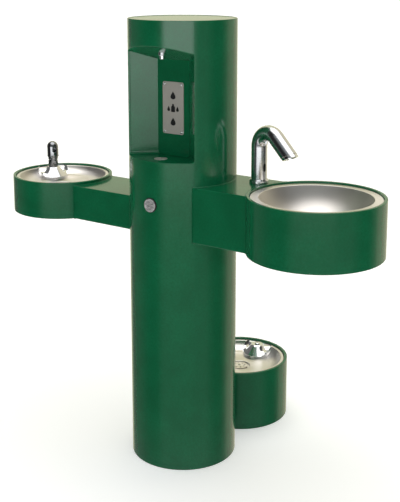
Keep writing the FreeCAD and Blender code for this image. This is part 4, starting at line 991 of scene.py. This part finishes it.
def studio_light():
    """Soft studio: walls whose brightness changes by direction, one softbox at eye level, a bright ceiling,
    and white seen by the camera behind everything."""
    world = bpy.data.worlds.new("studio")
    bpy.context.scene.world = world
    world.use_nodes = True
    tree = world.node_tree
    tree.nodes.clear()
    way = add(tree, "SeparateXYZ", {0: add(tree, "TexCoord").outputs["Generated"]})
    ahead = add(tree, "Math", {0: way.outputs["Y"], 1: -1.0}, operation="MULTIPLY")
    angle = add(tree, "Math", {0: way.outputs["X"], 1: ahead.outputs[0]}, operation="ARCTAN2")
    first = math.radians(WALLS[0][0])
    share = add(tree, "Math", {0: angle.outputs[0], 1: first}, operation="SUBTRACT")
    wrapped = add(tree, "Math", {0: share.outputs[0], 1: 2 * math.pi}, operation="FLOORED_MODULO")
    turn = add(tree, "Math", {0: wrapped.outputs[0], 1: 2 * math.pi}, operation="DIVIDE")
    walls = add(tree, "ValToRGB", {"Fac": turn.outputs[0]})
    walls.color_ramp.interpolation = "EASE"
    stops = walls.color_ramp.elements
    for _ in range(len(WALLS) - len(stops)):
        stops.new(1.0)
    for stop, (degrees, colour, strength) in zip(stops, WALLS):
        stop.position = (degrees - WALLS[0][0]) / 360
        stop.color = (*[c * strength for c in srgb(colour)[:3]], 1)
    middle, half = SOFTBOX
    aside = add(tree, "Math", {0: angle.outputs[0], 1: math.radians(middle)}, operation="SUBTRACT")
    across = add(tree, "Math", {0: aside.outputs[0]}, operation="ABSOLUTE")
    tall = add(tree, "Math", {0: way.outputs["Z"]}, operation="ABSOLUTE")
    fades = (
        (across.outputs[0], math.radians(half + SOFTBOX_EDGE), math.radians(half - SOFTBOX_EDGE)),
        (tall.outputs[0], *SOFTBOX_TALL),
        (way.outputs["Z"], *CEILING_FADE),
        (way.outputs["Z"], *FLOOR_FADE),
    )
    within, level, high, low = [
        add(tree, "MapRange", {"Value": value, "From Min": start, "From Max": stop},
            interpolation_type="SMOOTHSTEP").outputs[0]
        for value, start, stop in fades
    ]
    box = add(tree, "Math", {0: within, 1: level}, operation="MULTIPLY").outputs[0]
    colour = walls.outputs["Color"]
    for share, strength in ((box, SOFTBOX_LIGHT), (high, CEILING), (low, FLOOR_LIGHT)):
        mix = add(tree, "Mix", {"Factor": share, 6: colour, 7: (strength, strength, strength, 1)},
                  data_type="RGBA")
        colour = mix.outputs[2]
    light = add(tree, "Background", {"Color": colour, "Strength": 1.0})
    white = add(tree, "Background", {"Color": (1, 1, 1, 1), "Strength": 1.0})
    seen = add(tree, "LightPath")
    mixed = add(tree, "MixShader", {0: seen.outputs["Is Camera Ray"], 1: light.outputs[0],
                                    2: white.outputs[0]})
    add(tree, "OutputWorld", {"Surface": mixed.outputs[0]})
    bpy.context.scene.view_settings.view_transform = "Standard"


# ---------------------------------------------------------------- assembly

def finish_cad_nodes():
    """Every CAD node that stays in view gets the finish of its own slot."""
    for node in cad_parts.values():
        name = node.material_slots[0].material.name.split(".")[0]
        node.material_slots[0].material = FINISHES[name]


def main():
    """Builds the studio, then every piece in turn."""
    camera()
    floor()
    studio_light()
    finish_cad_nodes()
    pedestal_skin()
    cap()
    door_panel()
    door_screws()
    sign_plate()
    sign_symbols()
    plate_screws()
    nozzle()

    left = middle_of("left_drum")
    right = middle_of("right_drum")
    pet = middle_of("pet_drum")
    left_rim = node_box("left_drum")[1][2]
    right_rim = node_box("right_drum")[1][2]
    pet_rim = node_box("pet_drum")[1][2]
    small_r = node_box("left_drum")[1][0] - left[0]
    large_r = node_box("right_drum")[1][0] - right[0]
    arm("left", left[0], small_r)
    arm("right", right[0], large_r)
    drum("left", left[:2], small_r)
    drum("right", right[:2], large_r)
    drum("pet", pet[:2], small_r)

    left_steel = spun_steel("satin_pressed_steel_left", "satin_stainless", left[:2], 0.32, 0.38)
    pet_steel = spun_steel("satin_pressed_steel_pet", "satin_stainless", pet[:2], 0.32, 0.38)
    right_steel = spun_steel("satin_spun_steel_basin", "spun_steel", right[:2], 0.4, 0.45)
    small_bowl("left", left[:2], left_rim, left_steel)
    small_bowl("pet", pet[:2], pet_rim, pet_steel)
    basin(right[:2], right_rim, right_steel)
    strainer("left", left_steel, BOWL_STRAINER)
    strainer("pet", pet_steel, BOWL_STRAINER)
    strainer("right", right_steel, BOWL_STRAINER)
    strainer("alcove", PLATE_STEEL, ALCOVE_STRAINER)

    bubbler_at = middle_of("left_bubbler")[:2]
    jet_at = middle_of("pet_jet")[:2]
    left_angle = math.degrees(math.atan2(*(bubbler_at - left[:2])[::-1]))
    pet_angle = math.degrees(math.atan2(*(jet_at - pet[:2])[::-1]))
    mound("left_bubbler_mound", left[:2], left_rim, left_angle, CHROME, "left_bubbler_base")
    mound("pet_jet_mound", pet[:2], pet_rim, pet_angle, CHROME, "pet_jet_base")
    bubbler_facing = math.radians(left_angle + 180)
    bubbler(bubbler_at, left_rim, bubbler_facing)
    mouth_guard(bubbler_at, left_rim, bubbler_facing)
    pet_jet(jet_at, pet_rim)
    tap(right[:2])

    push_button("filler", FRONT, -POST_R)
    push_button("pet", REAR, POST_R)
    push_button("left", REAR, small_r)


main()
